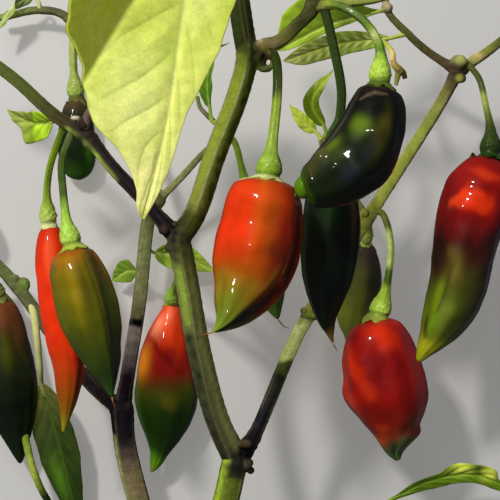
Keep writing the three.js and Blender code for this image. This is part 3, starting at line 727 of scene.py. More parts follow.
def podTones(facts, angle, share, spots, seed):
    build = podBuild
    wander = share + build["wander"] * ripple(spots, build["wanderSize"], seed + 40)
    tones = tonesAlong(facts["tones"], wander)
    for markAngle, markShare, halfAngle, halfShare, code, strength in facts.get("marks", []):
        far = (turnGap(angle, markAngle) / halfAngle) ** 2 + ((wander - markShare) / halfShare) ** 2
        tones = mixIn(tones, strength * np.exp(-far ** build["markEdge"]), code)
    for first, firstShare, last, lastShare, width, code, strength in facts.get("bands", []):
        line = np.array([(last - first) * build["mmPerDegree"],
                         (lastShare - firstShare) * build["bandLength"]])
        gap = np.stack([turnGap(angle, first) * build["mmPerDegree"],
                        (wander - firstShare) * build["bandLength"]], axis=-1)
        part = np.clip(gap @ line / line.dot(line), 0, 1)
        far = np.linalg.norm(gap - part[:, None] * line, axis=1) / width
        tones = mixIn(tones, strength * np.exp(-far ** build["bandEdge"]), code)
    return tones


def makePod(name, facts, seed):
    build = podBuild
    path = pathOf(facts["axis"])

    def shapeOf(u, v):
        angle = 360 * u
        share, left, right = podOutline(facts, v, path["length"])
        half = (left + right) / 2
        across, deep = podSection(facts, angle, share, v)
        centre, _, up, side = at(path, share)
        centre = centre + side * ((left - right) / 2)[:, None]
        spots = centre + side * (half * across)[:, None] + up * (half * deep)[:, None]
        outward = unit(side * across[:, None] + up * deep[:, None] + 1e-9)
        push = build["skinRipple"] * ripple(spots, build["skinSize"], seed)
        push = push + build["fineRipple"] * ripple(spots, build["fineSize"], seed + 5)
        flutes = np.sin(np.radians(build["flutes"] * angle) + seed)
        flutes = flutes * smoothStep(*build["fluteStart"], share)
        push = (push + build["fluteDepth"] * flutes) * smoothStep(0, 3, half)
        for dentAngle, dentShare, halfAngle, halfShare, depth in facts.get("dents", []):
            far = (turnGap(angle, dentAngle) / halfAngle) ** 2 + ((share - dentShare) / halfShare) ** 2
            push = push - depth * np.exp(-far)
        spots = spots + outward * (push * smoothStep(0, 2, half))[:, None]
        return spots, podTones(facts, angle, share, spots, seed)

    meshes = [rolledGrid(name, grain["podSides"], grain["podRings"], shapeOf)]
    if "thread" in facts:
        # the dried style at the pod's tip
        start, taper = build["threadTaper"]
        meshes.append(tube(name, pathOf(facts["thread"]), 8, 24,
                           lambda share: build["threadWidth"] * (start - taper * share),
                           lambda share, spots: tonesAlong(build["threadTones"], share)))
    if "nub" in facts:
        meshes.append(blob(name, facts["nub"]["place"], facts["nub"]["sizes"], facts["nub"]["tone"]))
    return joined(name, meshes)


for seed, (name, facts) in enumerate(pods.items()):
    addPiece(name + "Skin", makePod(name, facts, seed), podSkin, facts["slot"], name)
print("pods made")


# stalks: pedicel, bulb, neck and the toothed calyx that hugs the pod's shoulder.
# Colours of the calyx, of its edge and of the groove above it, then the tones from the limb to the bulb;
# some tones are painted light and shade.

stalkTones = {
    "front_pod": (
        "#b9bd7c", "#6c8c2c", "#4c6a18",
        # the dark stretch next to the limb, up to 0.36, is painted shadow
        [(0, "#39481a"), (0.36, "#3c4c1a"), (0.42, "#84982f"), (0.7, "#8aa23a"), (1, "#78a022")],
    ),
    "bent_pod": (
        "#43561a", "#222c10", "#55701c",
        [
            (0, "#8c9c34"), (0.1, "#70802f"), (0.2, "#4c6424"), (0.44, "#4c6820"), (0.5, "#6c8428"),
            # the pale tone at 0.57 is a painted highlight
            (0.57, "#a8b86c"), (0.66, "#6c8c28"), (0.73, "#5c7c24"), (0.82, "#a2c43c"), (1, "#9cbc38"),
        ],
    ),
    "dark_pod": (
        "#1c3410", "#122409", "#16280c",
        [(0, "#34401c"), (0.3, "#34481a"), (0.8, "#33481c"), (1, "#2c441a")],
    ),
    "shaded_pod": ("#a4b450", "#6c7c34", "#46541f", [(0, "#5c6a2c"), (0.6, "#94a444"), (1, "#a8bc50")]),
    "lumpy_pod": (
        "#8c9c44", "#5c6c2c", "#54742c",
        [
            (0, "#5c6828"), (0.2, "#646e30"), (0.27, "#d0e884"), (0.55, "#d8f084"), (0.6, "#5c7c2c"),
            (0.66, "#587428"), (0.73, "#b0d048"), (1, "#a0c438"),
        ],
    ),
    "long_pod": (
        "#223c10", "#142408", "#1c300c",
        [
            (0, "#4c5424"), (0.32, "#4c5624"), (0.39, "#8c9840"), (0.48, "#8c9a44"), (0.56, "#5c6a2c"),
            (0.7, "#38461a"), (1, "#182c0c"),
        ],
    ),
    "slim_pod": (
        "#ccd494", "#9ca45c", "#8c9c4c",
        [
            (0, "#44561f"), (0.25, "#6c8814"), (0.6, "#84a42c"), (0.84, "#98b444"), (0.94, "#a8bc5c"),
            (1, "#d8dca0"),
        ],
    ),
    "olive_pod": (
        "#94a83c", "#5c7a24", "#55701f",
        [(0, "#5c6a3c"), (0.25, "#3c501c"), (0.55, "#485c20"), (0.7, "#8cb43c"), (1, "#a2c848")],
    ),
    "ripening_pod": ("#84ac3c", "#5c8024", "#54742c", [(0, "#5c7030"), (0.6, "#7ca034"), (1, "#88b43c")]),
    "small_pod": ("#5c5428", "#3c3418", "#3c401c", [(0, "#a4ac64"), (0.5, "#9cac58"), (1, "#8ca444")]),
    "edge_pod": ("#6c6c34", "#4c4c24", "#3c401c", [(0, "#5c6c30"), (1, "#6c7c34")]),
    "hidden_pod": ("#6c9434", "#4c6c24", "#44601c", [(0, "#74902c"), (1, "#84a838")]),
}
stalkBuild = {
    "inset": 2.5, "pedicel": 1.6, "capBase": 1, "capPerTop": 0.7, "bulbBase": 2.2, "bulbPerCap": 0.25,
    "neck": 1.9, "neckPerBulb": 0.92, "rim": 0.4, "rimCurve": 2.6, "calyxRows": 8,
    "bulbRows": [
        (1.9, 0.92), (2.4, 1.01), (3.4, 1.06), (5, 1), (6.6, 0.87), (8, 0.7), (9.6, 0.55), (11.2, 0.46),
    ],
    "pedicelRows": 8, "pedicelTaper": 0.3, "soft": 0.008, "rowSpace": 0.25,
    "teeth": 6, "toothReach": 0.85, "toothMiddle": 0.45, "toothSwing": (0.12, 0.08),
    "toothSize": (0.85, 0.3), "toothRipple": 0.08, "calyxFade": 0.12, "edgeFade": (0.5, 1),
    "ribs": 5, "ribHeight": 0.06, "ribFade": (6, 12),
    "wart": 0.12, "wartSize": 1.3, "wartSpread": (0.25, 1.3), "bulbMiddle": 4.6, "bulbReach": 3.2,
    "wander": 0.02, "wanderSize": 6, "paleColour": "#dfe9a4", "paleStrength": 0.35, "paleFrom": 2.5,
    "calyxStrength": 0.95, "edgeStrength": 0.75, "grooveStrength": 0.6, "grooveWidth": 0.45,
}


def stalkRows(facts, start, shoulderAt):
    # rows from the limb to the inside of the pod: distance above the pod's top, radius, lift over the
    # shoulder and how far out on the calyx
    build = stalkBuild
    tops = facts["left"][0] + facts.get("right", facts["left"])[0]
    cap = facts.get("cap", build["capBase"] + build["capPerTop"] * tops / 2)
    bulb = facts.get("bulb", build["bulbBase"] + build["bulbPerCap"] * cap)
    pedicel = facts.get("pedicel", build["pedicel"])
    neck = bulb * build["neckPerBulb"]
    rows = [(-build["inset"], 0.01, 0, 0), (-build["inset"], neck * 0.6, 0, 0)]
    rows += [(0, cap * 0.9, -0.12, 0.9), (0, cap, 0.1, 1), (0, cap, build["rim"], 1)]
    for step in range(1, build["calyxRows"]):
        out = 1 - step / build["calyxRows"]
        climb = build["neck"] + shoulderAt(neck) - build["rim"]
        lift = build["rim"] + climb * (1 - out) ** build["rimCurve"]
        rows.append((0, neck + (cap - neck) * out, lift, out))
    rows += [(distance, bulb * width, 0, 0) for distance, width in build["bulbRows"]
             if distance < start - 2]
    last = rows[-1][0]
    for step in range(1, build["pedicelRows"] + 1):
        thick = pedicel + (rows[-1][1] - pedicel) * build["pedicelTaper"]
        rows.append((last + (start - last) * (step / build["pedicelRows"]), thick, 0, 0))
    rows.append((start + 0.3, 0.01, 0, 0))
    return rows[::-1]


def makeStalk(name, facts, looks, seed):
    build = stalkBuild
    calyxTone, edgeTone, grooveTone, barkTones = looks
    podPath = pathOf(facts["axis"])
    inside = at(podPath, np.array([build["inset"] / podPath["length"]]))[0][0]
    path = pathOf([*facts["stalk"], facts["axis"][0], inside])
    start = path["length"] - build["inset"]
    flare = facts.get("flare", build["toothReach"])
    shares, lefts, rights = podOutline(facts, np.linspace(0, 0.5, 400), podPath["length"])

    def shoulderAt(radius):
        # how far the pod's shoulder lies below its top at this distance from the axis
        return np.interp(radius, (lefts + rights) / 2, shares) * podPath["length"]

    rows = stalkRows(facts, start, shoulderAt)
    distances, radii, lifts, outs = (np.array(column) for column in zip(*rows))
    steps = np.hypot(np.diff(distances), np.diff(radii)) + build["rowSpace"]
    spread = np.concatenate([[0], np.cumsum(steps)])
    spread = spread / spread[-1]

    def shapeOf(u, v):
        def along(values):
            shifts = (-build["soft"], 0, build["soft"])
            return sum(np.interp(v + shift, spread, values) for shift in shifts) / 3
        angle = 2 * math.pi * u
        out = along(outs)
        ends = (v == 0) | (v == 1)
        radius = np.where(ends, 0, along(radii))
        first, second = build["toothSwing"]
        swing = angle - math.pi / 2 + first * np.sin(2 * angle + seed)
        swing = swing + second * np.sin(3 * angle + 2 * seed)
        tooth = 1 - 2 * np.abs((build["teeth"] * swing / (2 * math.pi) + 0.5) % 1 - 0.5)
        usual, change = build["toothSize"]
        tooth = tooth * (usual + change * np.sin(angle * 2 + 3 * seed))
        tooth = tooth + build["toothRipple"] * ripple(np.stack([angle, out, out], -1), 0.5, seed)
        radius = radius * (1 + out ** 2 * flare * (tooth - build["toothMiddle"]))
        onCalyx = smoothStep(0, build["calyxFade"], out)
        distance = np.where(ends, np.interp(v, spread, distances), along(distances))
        distance = distance * (1 - onCalyx) + (along(lifts) - shoulderAt(radius)) * onCalyx
        ribbed = build["ribHeight"] * smoothStep(*build["ribFade"], distance)
        radius = radius * (1 + ribbed * np.cos(build["ribs"] * angle + seed))
        centre, _, up, side = at(path, (start - distance) / path["length"])
        outward = side * np.cos(angle)[:, None] + up * np.sin(angle)[:, None]
        spots = centre + outward * radius[:, None]
        onBulb = np.exp(-((distance - build["bulbMiddle"]) / build["bulbReach"]) ** 2)
        warts = build["wart"] * ripple(spots, build["wartSize"], seed + 9)
        few, many = build["wartSpread"]
        warts = warts * (few + many * onBulb) * (1 - onCalyx)
        spots = spots + outward * (warts * smoothStep(0.5, 1.5, radius))[:, None]
        wander = build["wander"] * ripple(spots, build["wanderSize"], seed)
        tones = tonesAlong(barkTones, np.clip(1 - distance / start, 0, 1) + wander)
        pale = build["paleStrength"] * np.clip(tones.max(axis=1) * build["paleFrom"], 0, 1)
        warty = np.clip(ripple(spots, build["wartSize"], seed + 9), 0, 1)
        tones = mixIn(tones, pale * onBulb * warty, build["paleColour"])
        leafy = smoothStep(build["neck"] + 0.3, build["neck"] - 0.8, distance)
        tones = mixIn(tones, leafy * build["calyxStrength"], calyxTone)
        edge = leafy * build["edgeStrength"] * smoothStep(*build["edgeFade"], out) * (1 - tooth)
        tones = mixIn(tones, edge, edgeTone)
        groove = build["grooveStrength"] * np.exp(-((distance - build["neck"]) / build["grooveWidth"]) ** 2)
        tones = mixIn(tones, groove, grooveTone)
        return spots, tones

    return rolledGrid(name, grain["stalkSides"], grain["stalkRings"], shapeOf)


for seed, (name, facts) in enumerate(pods.items()):
    mesh = makeStalk(name, facts, stalkTones[name], seed)
    addPiece(name + "Stalk", mesh, stalkSkin, "stalk_green", name + "_stalk")
print("stalks made")


# limbs and twigs: their tubes are grown together, then given ribs, joints and colours.
# radii: at the start and at the end; crests: angles of the ribs, from the right (0) over the front (90)
# streaks: angle, half angle, from share, to share, colour, strength; some streaks are painted light and
# shade

limbs = {
    "frontWood": {
        "stem_foot": {
            "path": [[-24, -166, 6.2], [-24, -155, 6.2], [-24, -142, 12], [-23, -131, 22]],
            "radii": (6.2, 5.6), "crests": (50, 130, 210, 300),
            "tones": [(0, "#6f7040"), (0.5, "#6a6b36"), (1, "#66702c")],
        },
        "lower_front_stem": {
            "path": [[-23, -131, 22], [-13.8, -109, 40], [-8.2, -88.5, 54], [-5.2, -74, 61]],
            "radii": (5.4, 5), "crests": (50, 130, 210, 300),
            "tones": [
                (0, "#66702c"), (0.4, "#7c8f30"), (0.75, "#6c7c2a"), (0.9, "#66742a"), (0.95, "#343c1c"),
                (1, "#24241c"),
            ],
            "streaks": [
                (150, 30, 0.2, 1.04, "#9cbc2c", 0.9), (88, 16, 0.2, 0.93, "#66741f", 0.8),
                (44, 24, 0.2, 0.93, "#6c7838", 0.8),
            ],
        },
        "front_stem": {
            "path": [
                [-5.4, -73, 61], [-12.5, -55.3, 64], [-18, -33, 67], [-21.3, -13.8, 69], [-24.3, 3.4, 71],
            ],
            "radii": (4.3, 4.05), "crests": (20, 104, 172, 280),
            "tones": [
                (0, "#201b18"), (0.08, "#44472a"), (0.5, "#565c34"), (0.62, "#626a38"), (0.9, "#6c743a"),
                (1, "#4a5028"),
            ],
            "streaks": [
                # the light streak at 134 degrees is painted light on the lit left face, and the dark one at
                # 140 degrees is painted shadow low on the stem
                (134, 24, 0.64, 0.9, "#86a03c", 0.85), (112, 4, 0.62, 0.92, "#333c1c", 0.6),
                (86, 12, 0.6, 0.95, "#444826", 0.6), (50, 26, 0.05, 0.99, "#787c46", 0.75),
                (140, 36, 0.03, 0.6, "#1f241a", 0.85), (14, 10, 0.05, 0.97, "#6c7048", 0.5),
            ],
        },
        "upper_stem": {
            "path": [
                [-24.3, 3.4, 71], [-18.2, 13.7, 71], [-12.1, 32, 72], [-4.8, 51, 74], [-1.2, 64.5, 76],
                [-2.4, 75, 78], [-4.4, 87.6, 80], [-6.7, 101, 80],
            ],
            "radii": (3.85, 3.65), "crests": (13, 96, 182, 270),
            "tones": [
                (0, "#4a5028"), (0.1, "#525c28"), (0.13, "#94a046"), (0.3, "#9fae40"), (0.55, "#98a83a"),
                # from 0.69 on, the darker tones are painted shadow
                (0.64, "#7c8c30"), (0.69, "#343a1a"), (1, "#444c26"),
            ],
            "streaks": [
                # the dark streak at 50 degrees is painted shade on the right-front face, and the one at 140
                # degrees from 0.7 on is painted shadow
                (184, 16, 0.06, 0.66, "#a08c68", 0.85), (50, 36, 0.08, 0.69, "#4a5c20", 0.95),
                (60, 34, -0.06, 0.1, "#5c682c", 0.8), (96, 8, 0.12, 0.6, "#b8bc8c", 0.75),
                (84, 7, 0.58, 0.7, "#a4a878", 0.6), (10, 9, 0.1, 1, "#84845c", 0.6),
                (128, 12, 0.14, 0.6, "#a8b840", 0.5), (70, 8, 0.7, 1, "#7c7850", 0.5),
                (140, 20, 0.7, 1, "#3c5020", 0.6),
            ],
        },
        "left_limb": {
            "path": [
                [-24.3, 3.4, 71], [-34.4, 14.8, 69], [-46.7, 27.6, 67], [-56.9, 39.6, 65], [-68.3, 47, 63],
                [-82.3, 59.6, 60], [-97, 70.5, 57],
            ],
            "radii": (2.85, 2.3), "crests": (36, 150, 240, 310),
            "tones": [
                # the dark purple first half is painted shadow of the front leaf
                (0, "#110d14"), (0.2, "#17121a"), (0.4, "#1f181a"), (0.5, "#2a221a"), (0.6, "#35321a"),
                (0.75, "#454f1f"), (1, "#4c5a24"),
            ],
            "streaks": [
                (18, 14, 0.55, 1, "#7c6440", 0.8), (158, 36, 0.3, 0.56, "#8ca040", 0.95),
                (176, 9, 0.05, 0.3, "#6e6068", 0.6), (4, 9, 0.05, 0.5, "#5c4c48", 0.5),
            ],
        },
        "top_limb": {
            "path": [
                [-0.5, 67.5, 76.5], [9.1, 70.3, 77], [15.2, 75.2, 78], [20.9, 81.5, 80], [20.5, 90.6, 82],
                [18.7, 100, 84],
            ],
            "radii": (2.8, 2.3), "crests": (45, 130, 215, 300),
            "tones": [
                # the dark tones from 0.4 to 0.8 are painted shadow
                (0, "#5c4c30"), (0.15, "#7c7044"), (0.26, "#64622f"), (0.4, "#363c1a"), (0.6, "#262e14"),
                (0.8, "#3c4820"), (1, "#6c7a34"),
            ],
        },
        "top_side_limb": {
            "path": [[20.9, 81.7, 80], [33.5, 82.7, 83], [44.9, 84.2, 86], [54.7, 90, 88]],
            "radii": (2, 1.2), "crests": (60, 140, 220, 300), "tones": [(0, "#6c7034"), (1, "#8c9a44")],
        },
        "right_limb": {
            "path": [
                [-4.2, -74, 60.5], [2.8, -63.2, 56], [14.8, -35.4, 50], [21.5, -22.9, 48], [40.6, 8, 42],
                [55.3, 30.7, 38], [68.9, 52, 36], [76.3, 65.5, 36],
            ],
            "radii": (2.7, 2.45), "crests": (50, 150, 215, 300),
            "tones": [
                # the near-black start up to 0.2 is painted shade, and the pale stretch from 0.25 to 0.33 is
                # its own pale green brightened with painted light
                (0, "#0f0c12"), (0.12, "#100e14"), (0.2, "#22261a"), (0.235, "#4c5828"), (0.25, "#b8cc70"),
                (0.33, "#c8d480"), (0.345, "#14121a"), (0.37, "#848c34"), (0.55, "#8c9438"),
                (0.64, "#868e36"), (0.75, "#7c8430"), (0.85, "#86903a"), (0.93, "#7c7c40"),
                (0.97, "#544a2c"), (1, "#44382a"),
            ],
            "streaks": [
                # the dark streaks at 22 and 30 degrees are painted shade on the right side
                (30, 30, 0.03, 0.24, "#3a4420", 0.85), (160, 14, 0.36, 0.95, "#aaaa68", 0.6),
                (120, 12, 0.25, 0.335, "#d0d0a0", 0.6), (78, 9, 0.36, 0.95, "#a4a860", 0.4),
                (22, 26, 0.36, 0.95, "#48521e", 0.75),
            ],
        },
        "right_inner_twig": {
            "path": [
                [76.3, 65.5, 36], [65.2, 72.3, 38], [57.7, 78, 42], [49.3, 86.5, 46], [49.5, 96.8, 48],
            ],
            "radii": (1.9, 1.3),
            "tones": [(0, "#4c3c30"), (0.3, "#56502e"), (0.6, "#5c6030"), (1, "#6c7438")],
        },
        "right_outer_twig": {
            "path": [[76.3, 65.5, 36], [86.9, 72.6, 33], [96, 80, 25], [104, 88, 13], [109, 95, 1.6]],
            "radii": (2.2, 1.4),
            "tones": [
                (0, "#8c7c4c"), (0.12, "#8c8c44"), (0.24, "#7c7e38"), (0.4, "#4c5a26"), (1, "#54682c"),
            ],
        },
        "lower_right_shoot": {
            "path": [[-9.3, -95.4, 48], [14.7, -107, 38], [35, -108, 29], [48, -98, 23]],
            "radii": (1.8, 1.2), "tones": [(0, "#5c6a2c"), (1, "#6c8c30")],
        },
        "inner_shoot": {
            "path": [[43, 11.5, 41], [35, 24, 38], [27, 36, 38.5], [25.7, 41, 40]],
            "radii": (1.3, 1), "tones": [(0, "#6c7434"), (1, "#a09468")],
        },
    },
    "backWood": {
        "back_stem": {
            "path": [
                [-23.7, -131, 22], [-36.9, -111.2, 20.5], [-42.1, -94.4, 20], [-46.8, -75, 20],
                [-48.3, -60.5, 20],
            ],
            "radii": (5.1, 4.6),
            "tones": [
                (0, "#6c6c3c"), (0.4, "#78704a"), (0.7, "#6c6046"), (0.79, "#443a36"), (0.86, "#17141a"),
                (1, "#120e14"),
            ],
            "streaks": [(24, 26, 0.3, 0.86, "#44382c", 0.8), (158, 20, 0.3, 0.88, "#9aa460", 0.85)],
        },
        "back_middle_stem": {
            "path": [
                [-48.3, -60.5, 20], [-45, -40.7, 21], [-41.4, -18.4, 22], [-38.3, 10, 23], [-34.1, 19, 24],
            ],
            "radii": (3.2, 2.8),
            "tones": [
                (0, "#120e14"), (0.17, "#1c171c"), (0.23, "#5c5054"), (0.38, "#8c8078"), (0.405, "#0c0a10"),
                (0.43, "#0c0a10"), (0.445, "#6c6848"), (0.75, "#707a4c"), (1, "#5c6038"),
            ],
        },
        "back_left_limb": {
            "path": [
                [-48.3, -60.5, 20], [-60.8, -49.8, 20], [-77.4, -28.3, 20], [-88.3, -13.2, 20],
                [-101.9, 0.8, 20],
            ],
            "radii": (3.1, 2.5),
            "tones": [
                (0, "#1c171c"), (0.15, "#262022"), (0.4, "#3c3a30"), (0.6, "#54543c"), (0.8, "#5c663c"),
                (1, "#4c5a34"),
            ],
        },
        "back_upper_limb": {
            "path": [
                [-34.1, 19, 24], [-41.4, 41.4, 22], [-52.3, 66.3, 18], [-68.1, 87.5, 13], [-80.7, 92.2, 10],
                [-96.4, 89.5, 8],
            ],
            "radii": (2.1, 1.5),
            "tones": [(0, "#6c6c44"), (0.5, "#6c7038"), (0.8, "#4c4c34"), (1, "#7c8c44")],
        },
        "back_twig": {
            "path": [[-34.1, 19, 24], [-25.8, 26.9, 26], [-16.7, 36.5, 28], [-7, 43.7, 30]],
            "radii": (1.6, 1.3), "tones": [(0, "#7c7c54"), (1, "#8c9454")],
        },
    },
}
# knots: place, reach, how much the bark swells there, colour, strength; two dark ones that sink in are
# painted shade in hollows
knots = [
    ([-27.4, 5.2, 72], 6.6, 0.5, "#120d14", 0.95), ([-24.5, -2, 72], 4, 0.2, "#241f1a", 0.6),
    ([-29.4, 6.8, 73.6], 2, 0.1, "#43352a", 0.7), ([-27.8, 0.8, 73], 1.8, 0.1, "#3a2e28", 0.7),
    ([-1.4, -69.6, 61], 7, 0.8, "#0d0a10", 0.95), ([-2.2, -67.4, 65.4], 1.9, 0.1, "#4c3c2a", 0.7),
    ([-0.4, -75.2, 65], 2.2, 0.15, "#46382a", 0.75), ([5, 70.5, 79], 3, 0.5, "#8c7c54", 0.8),
    # the near-black knot at [3.2, 65.2] sinks in under the joint and is painted shade in the hollow
    ([3.2, 65.2, 79], 3.6, -0.2, "#14100e", 0.95), ([3.4, 70.6, 79.4], 1.3, 0.3, "#dccca0", 0.8),
    ([8.4, 69.6, 79.4], 1.6, 0.3, "#94866c", 0.7), ([4.4, 68.2, 79.6], 1.2, 0.2, "#8c8c30", 0.8),
    ([5, 61.4, 77.6], 2, 0.1, "#6c7044", 0.9), ([8, 62.6, 77.6], 1, 0.1, "#9c9c5c", 0.8),
    ([20.8, 81.6, 80], 4, 0.5, "#5c5a30", 0.4), ([-57, 39.8, 66], 6, 0.7, "#241a1c", 0.8),
    ([-60.6, 46.2, 67.2], 1.5, 0, "#d8cdb0", 0.85), ([76.3, 65.6, 37], 5, 0.7, "#3a2c20", 0.75),
    # the near-black knot at [78.2, 65.8] is painted shade in the hollow beside the bud
    ([78.2, 65.8, 38.6], 2.2, -0.3, "#100c0a", 0.9), ([76.3, 70, 40.4], 3, 0, "#a8ac64", 0.95),
    ([76.8, 62.3, 39.2], 1.8, 0.2, "#a4a848", 0.9), ([83.4, 70.9, 36.4], 2.4, 0.2, "#c0a878", 0.8),
    ([42.8, 11.8, 43], 3.5, 0.5, "#7c7c3c", 0.4), ([-48.3, -60, 20.5], 7, 0.5, "#120e14", 0.85),
    ([-45.4, -58.4, 24], 1.6, 0, "#4c4040", 0.6), ([49, 87.4, 48.8], 3, 0.3, "#c8b48c", 0.95),
    ([65.8, 68.4, 38.6], 1.2, 0.3, "#8c8054", 0.7), ([-84.6, -12.6, 22], 2.8, 0, "#6c8c34", 0.9),
    ([21.8, -22.5, 48.5], 3, 0.5, "#86963c", 0.5), ([-34.5, 19, 24], 4, 0.4, "#3c3424", 0.5),
    ([-88, -13.5, 20], 4, 0.4, "#4c5034", 0.5), ([-68.5, 87.5, 13], 3.4, 0.4, "#5c5434", 0.4),
]
# growths: buds and scars that stand out of the wood: place, half sizes
growths = {
    "frontWood": [
        ([76.3, 68.6, 37.8], (3.1, 2.6, 2.4)), ([76.8, 62.8, 37.4], (1.9, 1.5, 1.5)),
        ([49.2, 87, 46.8], (2, 1.9, 2)), ([82.6, 70.4, 34.6], (1.9, 1.5, 1.8)),
        ([-2.6, -67.2, 64], (2, 1, 1.3)), ([-1, -67.8, 63.4], (1.2, 0.9, 1.2)),
        ([-0.8, -74.4, 63.4], (1.6, 1.8, 1.6)), ([0.2, -77, 62], (1.3, 1.2, 1.4)),
        ([-29, 6.8, 72.2], (1.8, 1.5, 1.6)), ([-27.4, 0.8, 71.6], (1.5, 1.6, 1.6)),
        ([-26, 8.8, 72.6], (1.9, 0.9, 1)), ([3.4, 65.2, 77], (2.5, 3.4, 2.2)),
        ([5, 61.6, 76.2], (2.6, 1.2, 1.5)), ([7.6, 63, 76.6], (1, 1.3, 1)),
        ([0.4, 70.8, 78.4], (1.2, 1.3, 1.2)), ([6.6, 66.4, 77.4], (2.2, 2, 2)),
        ([23.8, -23.6, 49.6], (1.5, 1.2, 1.4)), ([19, -21.6, 49.4], (1.1, 1.3, 1.2)),
        ([-60.6, 45.6, 66.2], (1.8, 0.8, 1.1)), ([-57.4, 43.6, 66.4], (2.2, 2.4, 1.8)),
        ([41.4, 13.4, 43.6], (1.3, 1.3, 1.2)),
    ],
    "backWood": [
        ([-46, -58.4, 21.8], (1.6, 1.6, 1.3)), ([-51.4, -56.2, 22], (1.4, 1.6, 1.4)),
        ([-41, 0.4, 24.4], (1.3, 1.2, 1.2)), ([-88.2, -10.8, 21.4], (1.3, 1.3, 1.2)),
        ([-85.4, -13, 20.6], (2.6, 2.7, 2)),
    ],
}
woods = {
    "frontWood": {"finish": greenBark, "slot": "green_bark"},
    "backWood": {"finish": greyBark, "slot": "grey_bark"},
}
woodBuild = {
    "sides": 40, "ringGap": 0.8, "roundEnds": 0.8, "flatness": 0.4, "flattest": 0.72, "smoothing": 3,
    "samples": 160, "block": 20000, "seed": 3,
    "twist": 14, "twistLength": 40, "twistStart": 3,
    "crests": {"frontWood": (60, 150, 240, 330), "backWood": (45, 135, 215, 300)},
    "crestHeight": 0.05, "crestWidth": 0.42, "hollow": 0.02, "crestColour": "#8c7a55", "crestPaint": 0.18,
    "shadeColour": "#191a14", "shadePaint": 0.4, "shadeFrom": (0.75, -0.35), "streakFade": 0.02,
    "shadeFade": (0.35, 0.9), "seamFade": (0.05, 0.7), "crumple": 0.05, "crumpleSize": 1.8,
    "wander": 0.01, "wanderSize": 5, "streakUneven": (0.85, 0.25), "knotUneven": (0.85, 0.3),
    "patchSize": 3, "paintUneven": 0.8, "paintSize": 9, "knotRipple": 0.5, "knotSize": 2.5,
}
# the flat cut at the foot: from where along Y, about which axis, and its bark, wood and pith
cut = {"start": -165.3, "end": -165.9, "axis": (-24, 6.2), "bark": "#7f8a3c", "barkFrom": (4.6, 5.2),
       "wood": "#cbc48c", "pith": "#e8e4c0", "pithTo": (1.7, 1.2)}


def twistAt(share, length):
    # how far the crests have turned about the limb, in degrees
    held = np.clip(share, 0, 1)
    return woodBuild["twist"] * np.sin(held * length / woodBuild["twistLength"] + woodBuild["twistStart"])


def crestedSection(angle, crests):
    # 1 at the crests, and flatter between them
    section = np.ones_like(angle)
    for i, crest in enumerate(crests):
        width = (crests[(i + 1) % len(crests)] - crest) % 360
        middle = np.abs(turnGap(angle, crest + width / 2))
        flat = math.cos(math.radians(width / 2)) / np.maximum(np.cos(np.radians(middle)), 0.1)
        bent = 1 + woodBuild["flatness"] * (np.maximum(flat, woodBuild["flattest"]) - 1)
        section = np.where(middle <= width / 2, bent, section)
    return section


def roundEnd(past):
    # from 1 to 0 as past goes from 0 to 1, along a quarter of a circle
    return np.sqrt(np.clip(1 - np.clip(past, 0, 1) ** 2, 0, 1))


def limbTube(name, facts, crests):
    # one limb before it is grown together with the others; the foot starts flat
    path = pathOf(facts["path"])
    first, last = facts["radii"]
    startReach = 0 if name == "stem_foot" else woodBuild["roundEnds"] * first / path["length"]
    endReach = woodBuild["roundEnds"] * last / path["length"]

    def shapeOf(u, v):
        share = -startReach + (1 + startReach + endReach) * v
        half = first + (last - first) * np.clip(share, 0, 1)
        if startReach:
            half = half * roundEnd(-share / startReach)
        half = half * roundEnd((share - 1) / endReach)
        half = np.where((v == 0) | (v == 1), 0, half)
        centre, _, up, side = at(path, share)
        half = half * crestedSection(360 * u - twistAt(share, path["length"]), crests)
        return ringSpots(centre, side, up, 2 * math.pi * u, half), np.zeros((len(u), 3))

    return rolledGrid(name, woodBuild["sides"], int(path["length"] / woodBuild["ringGap"]), shapeOf)


def growWood(name):
    # every limb and growth of this wood under one skin
    tubes = [limbTube(limb, facts, facts.get("crests", woodBuild["crests"][name]))
             for limb, facts in limbs[name].items()]
    tubes += [blob(name, place, sizes) for place, sizes in growths[name]]
    holder = bpy.data.objects.new(name + "Draft", joined(name, tubes))
    bpy.context.scene.collection.objects.link(holder)
    remesh = holder.modifiers.new("grown", "REMESH")
    remesh.mode = "VOXEL"
    remesh.voxel_size = grain["woodVoxel"] / metre
    smooth = holder.modifiers.new("smoothed", "SMOOTH")
    smooth.factor = 0.5
    smooth.iterations = woodBuild["smoothing"]
    whole = bpy.data.meshes.new_from_object(holder.evaluated_get(bpy.context.evaluated_depsgraph_get()))
    bpy.data.objects.remove(holder)
    return whole


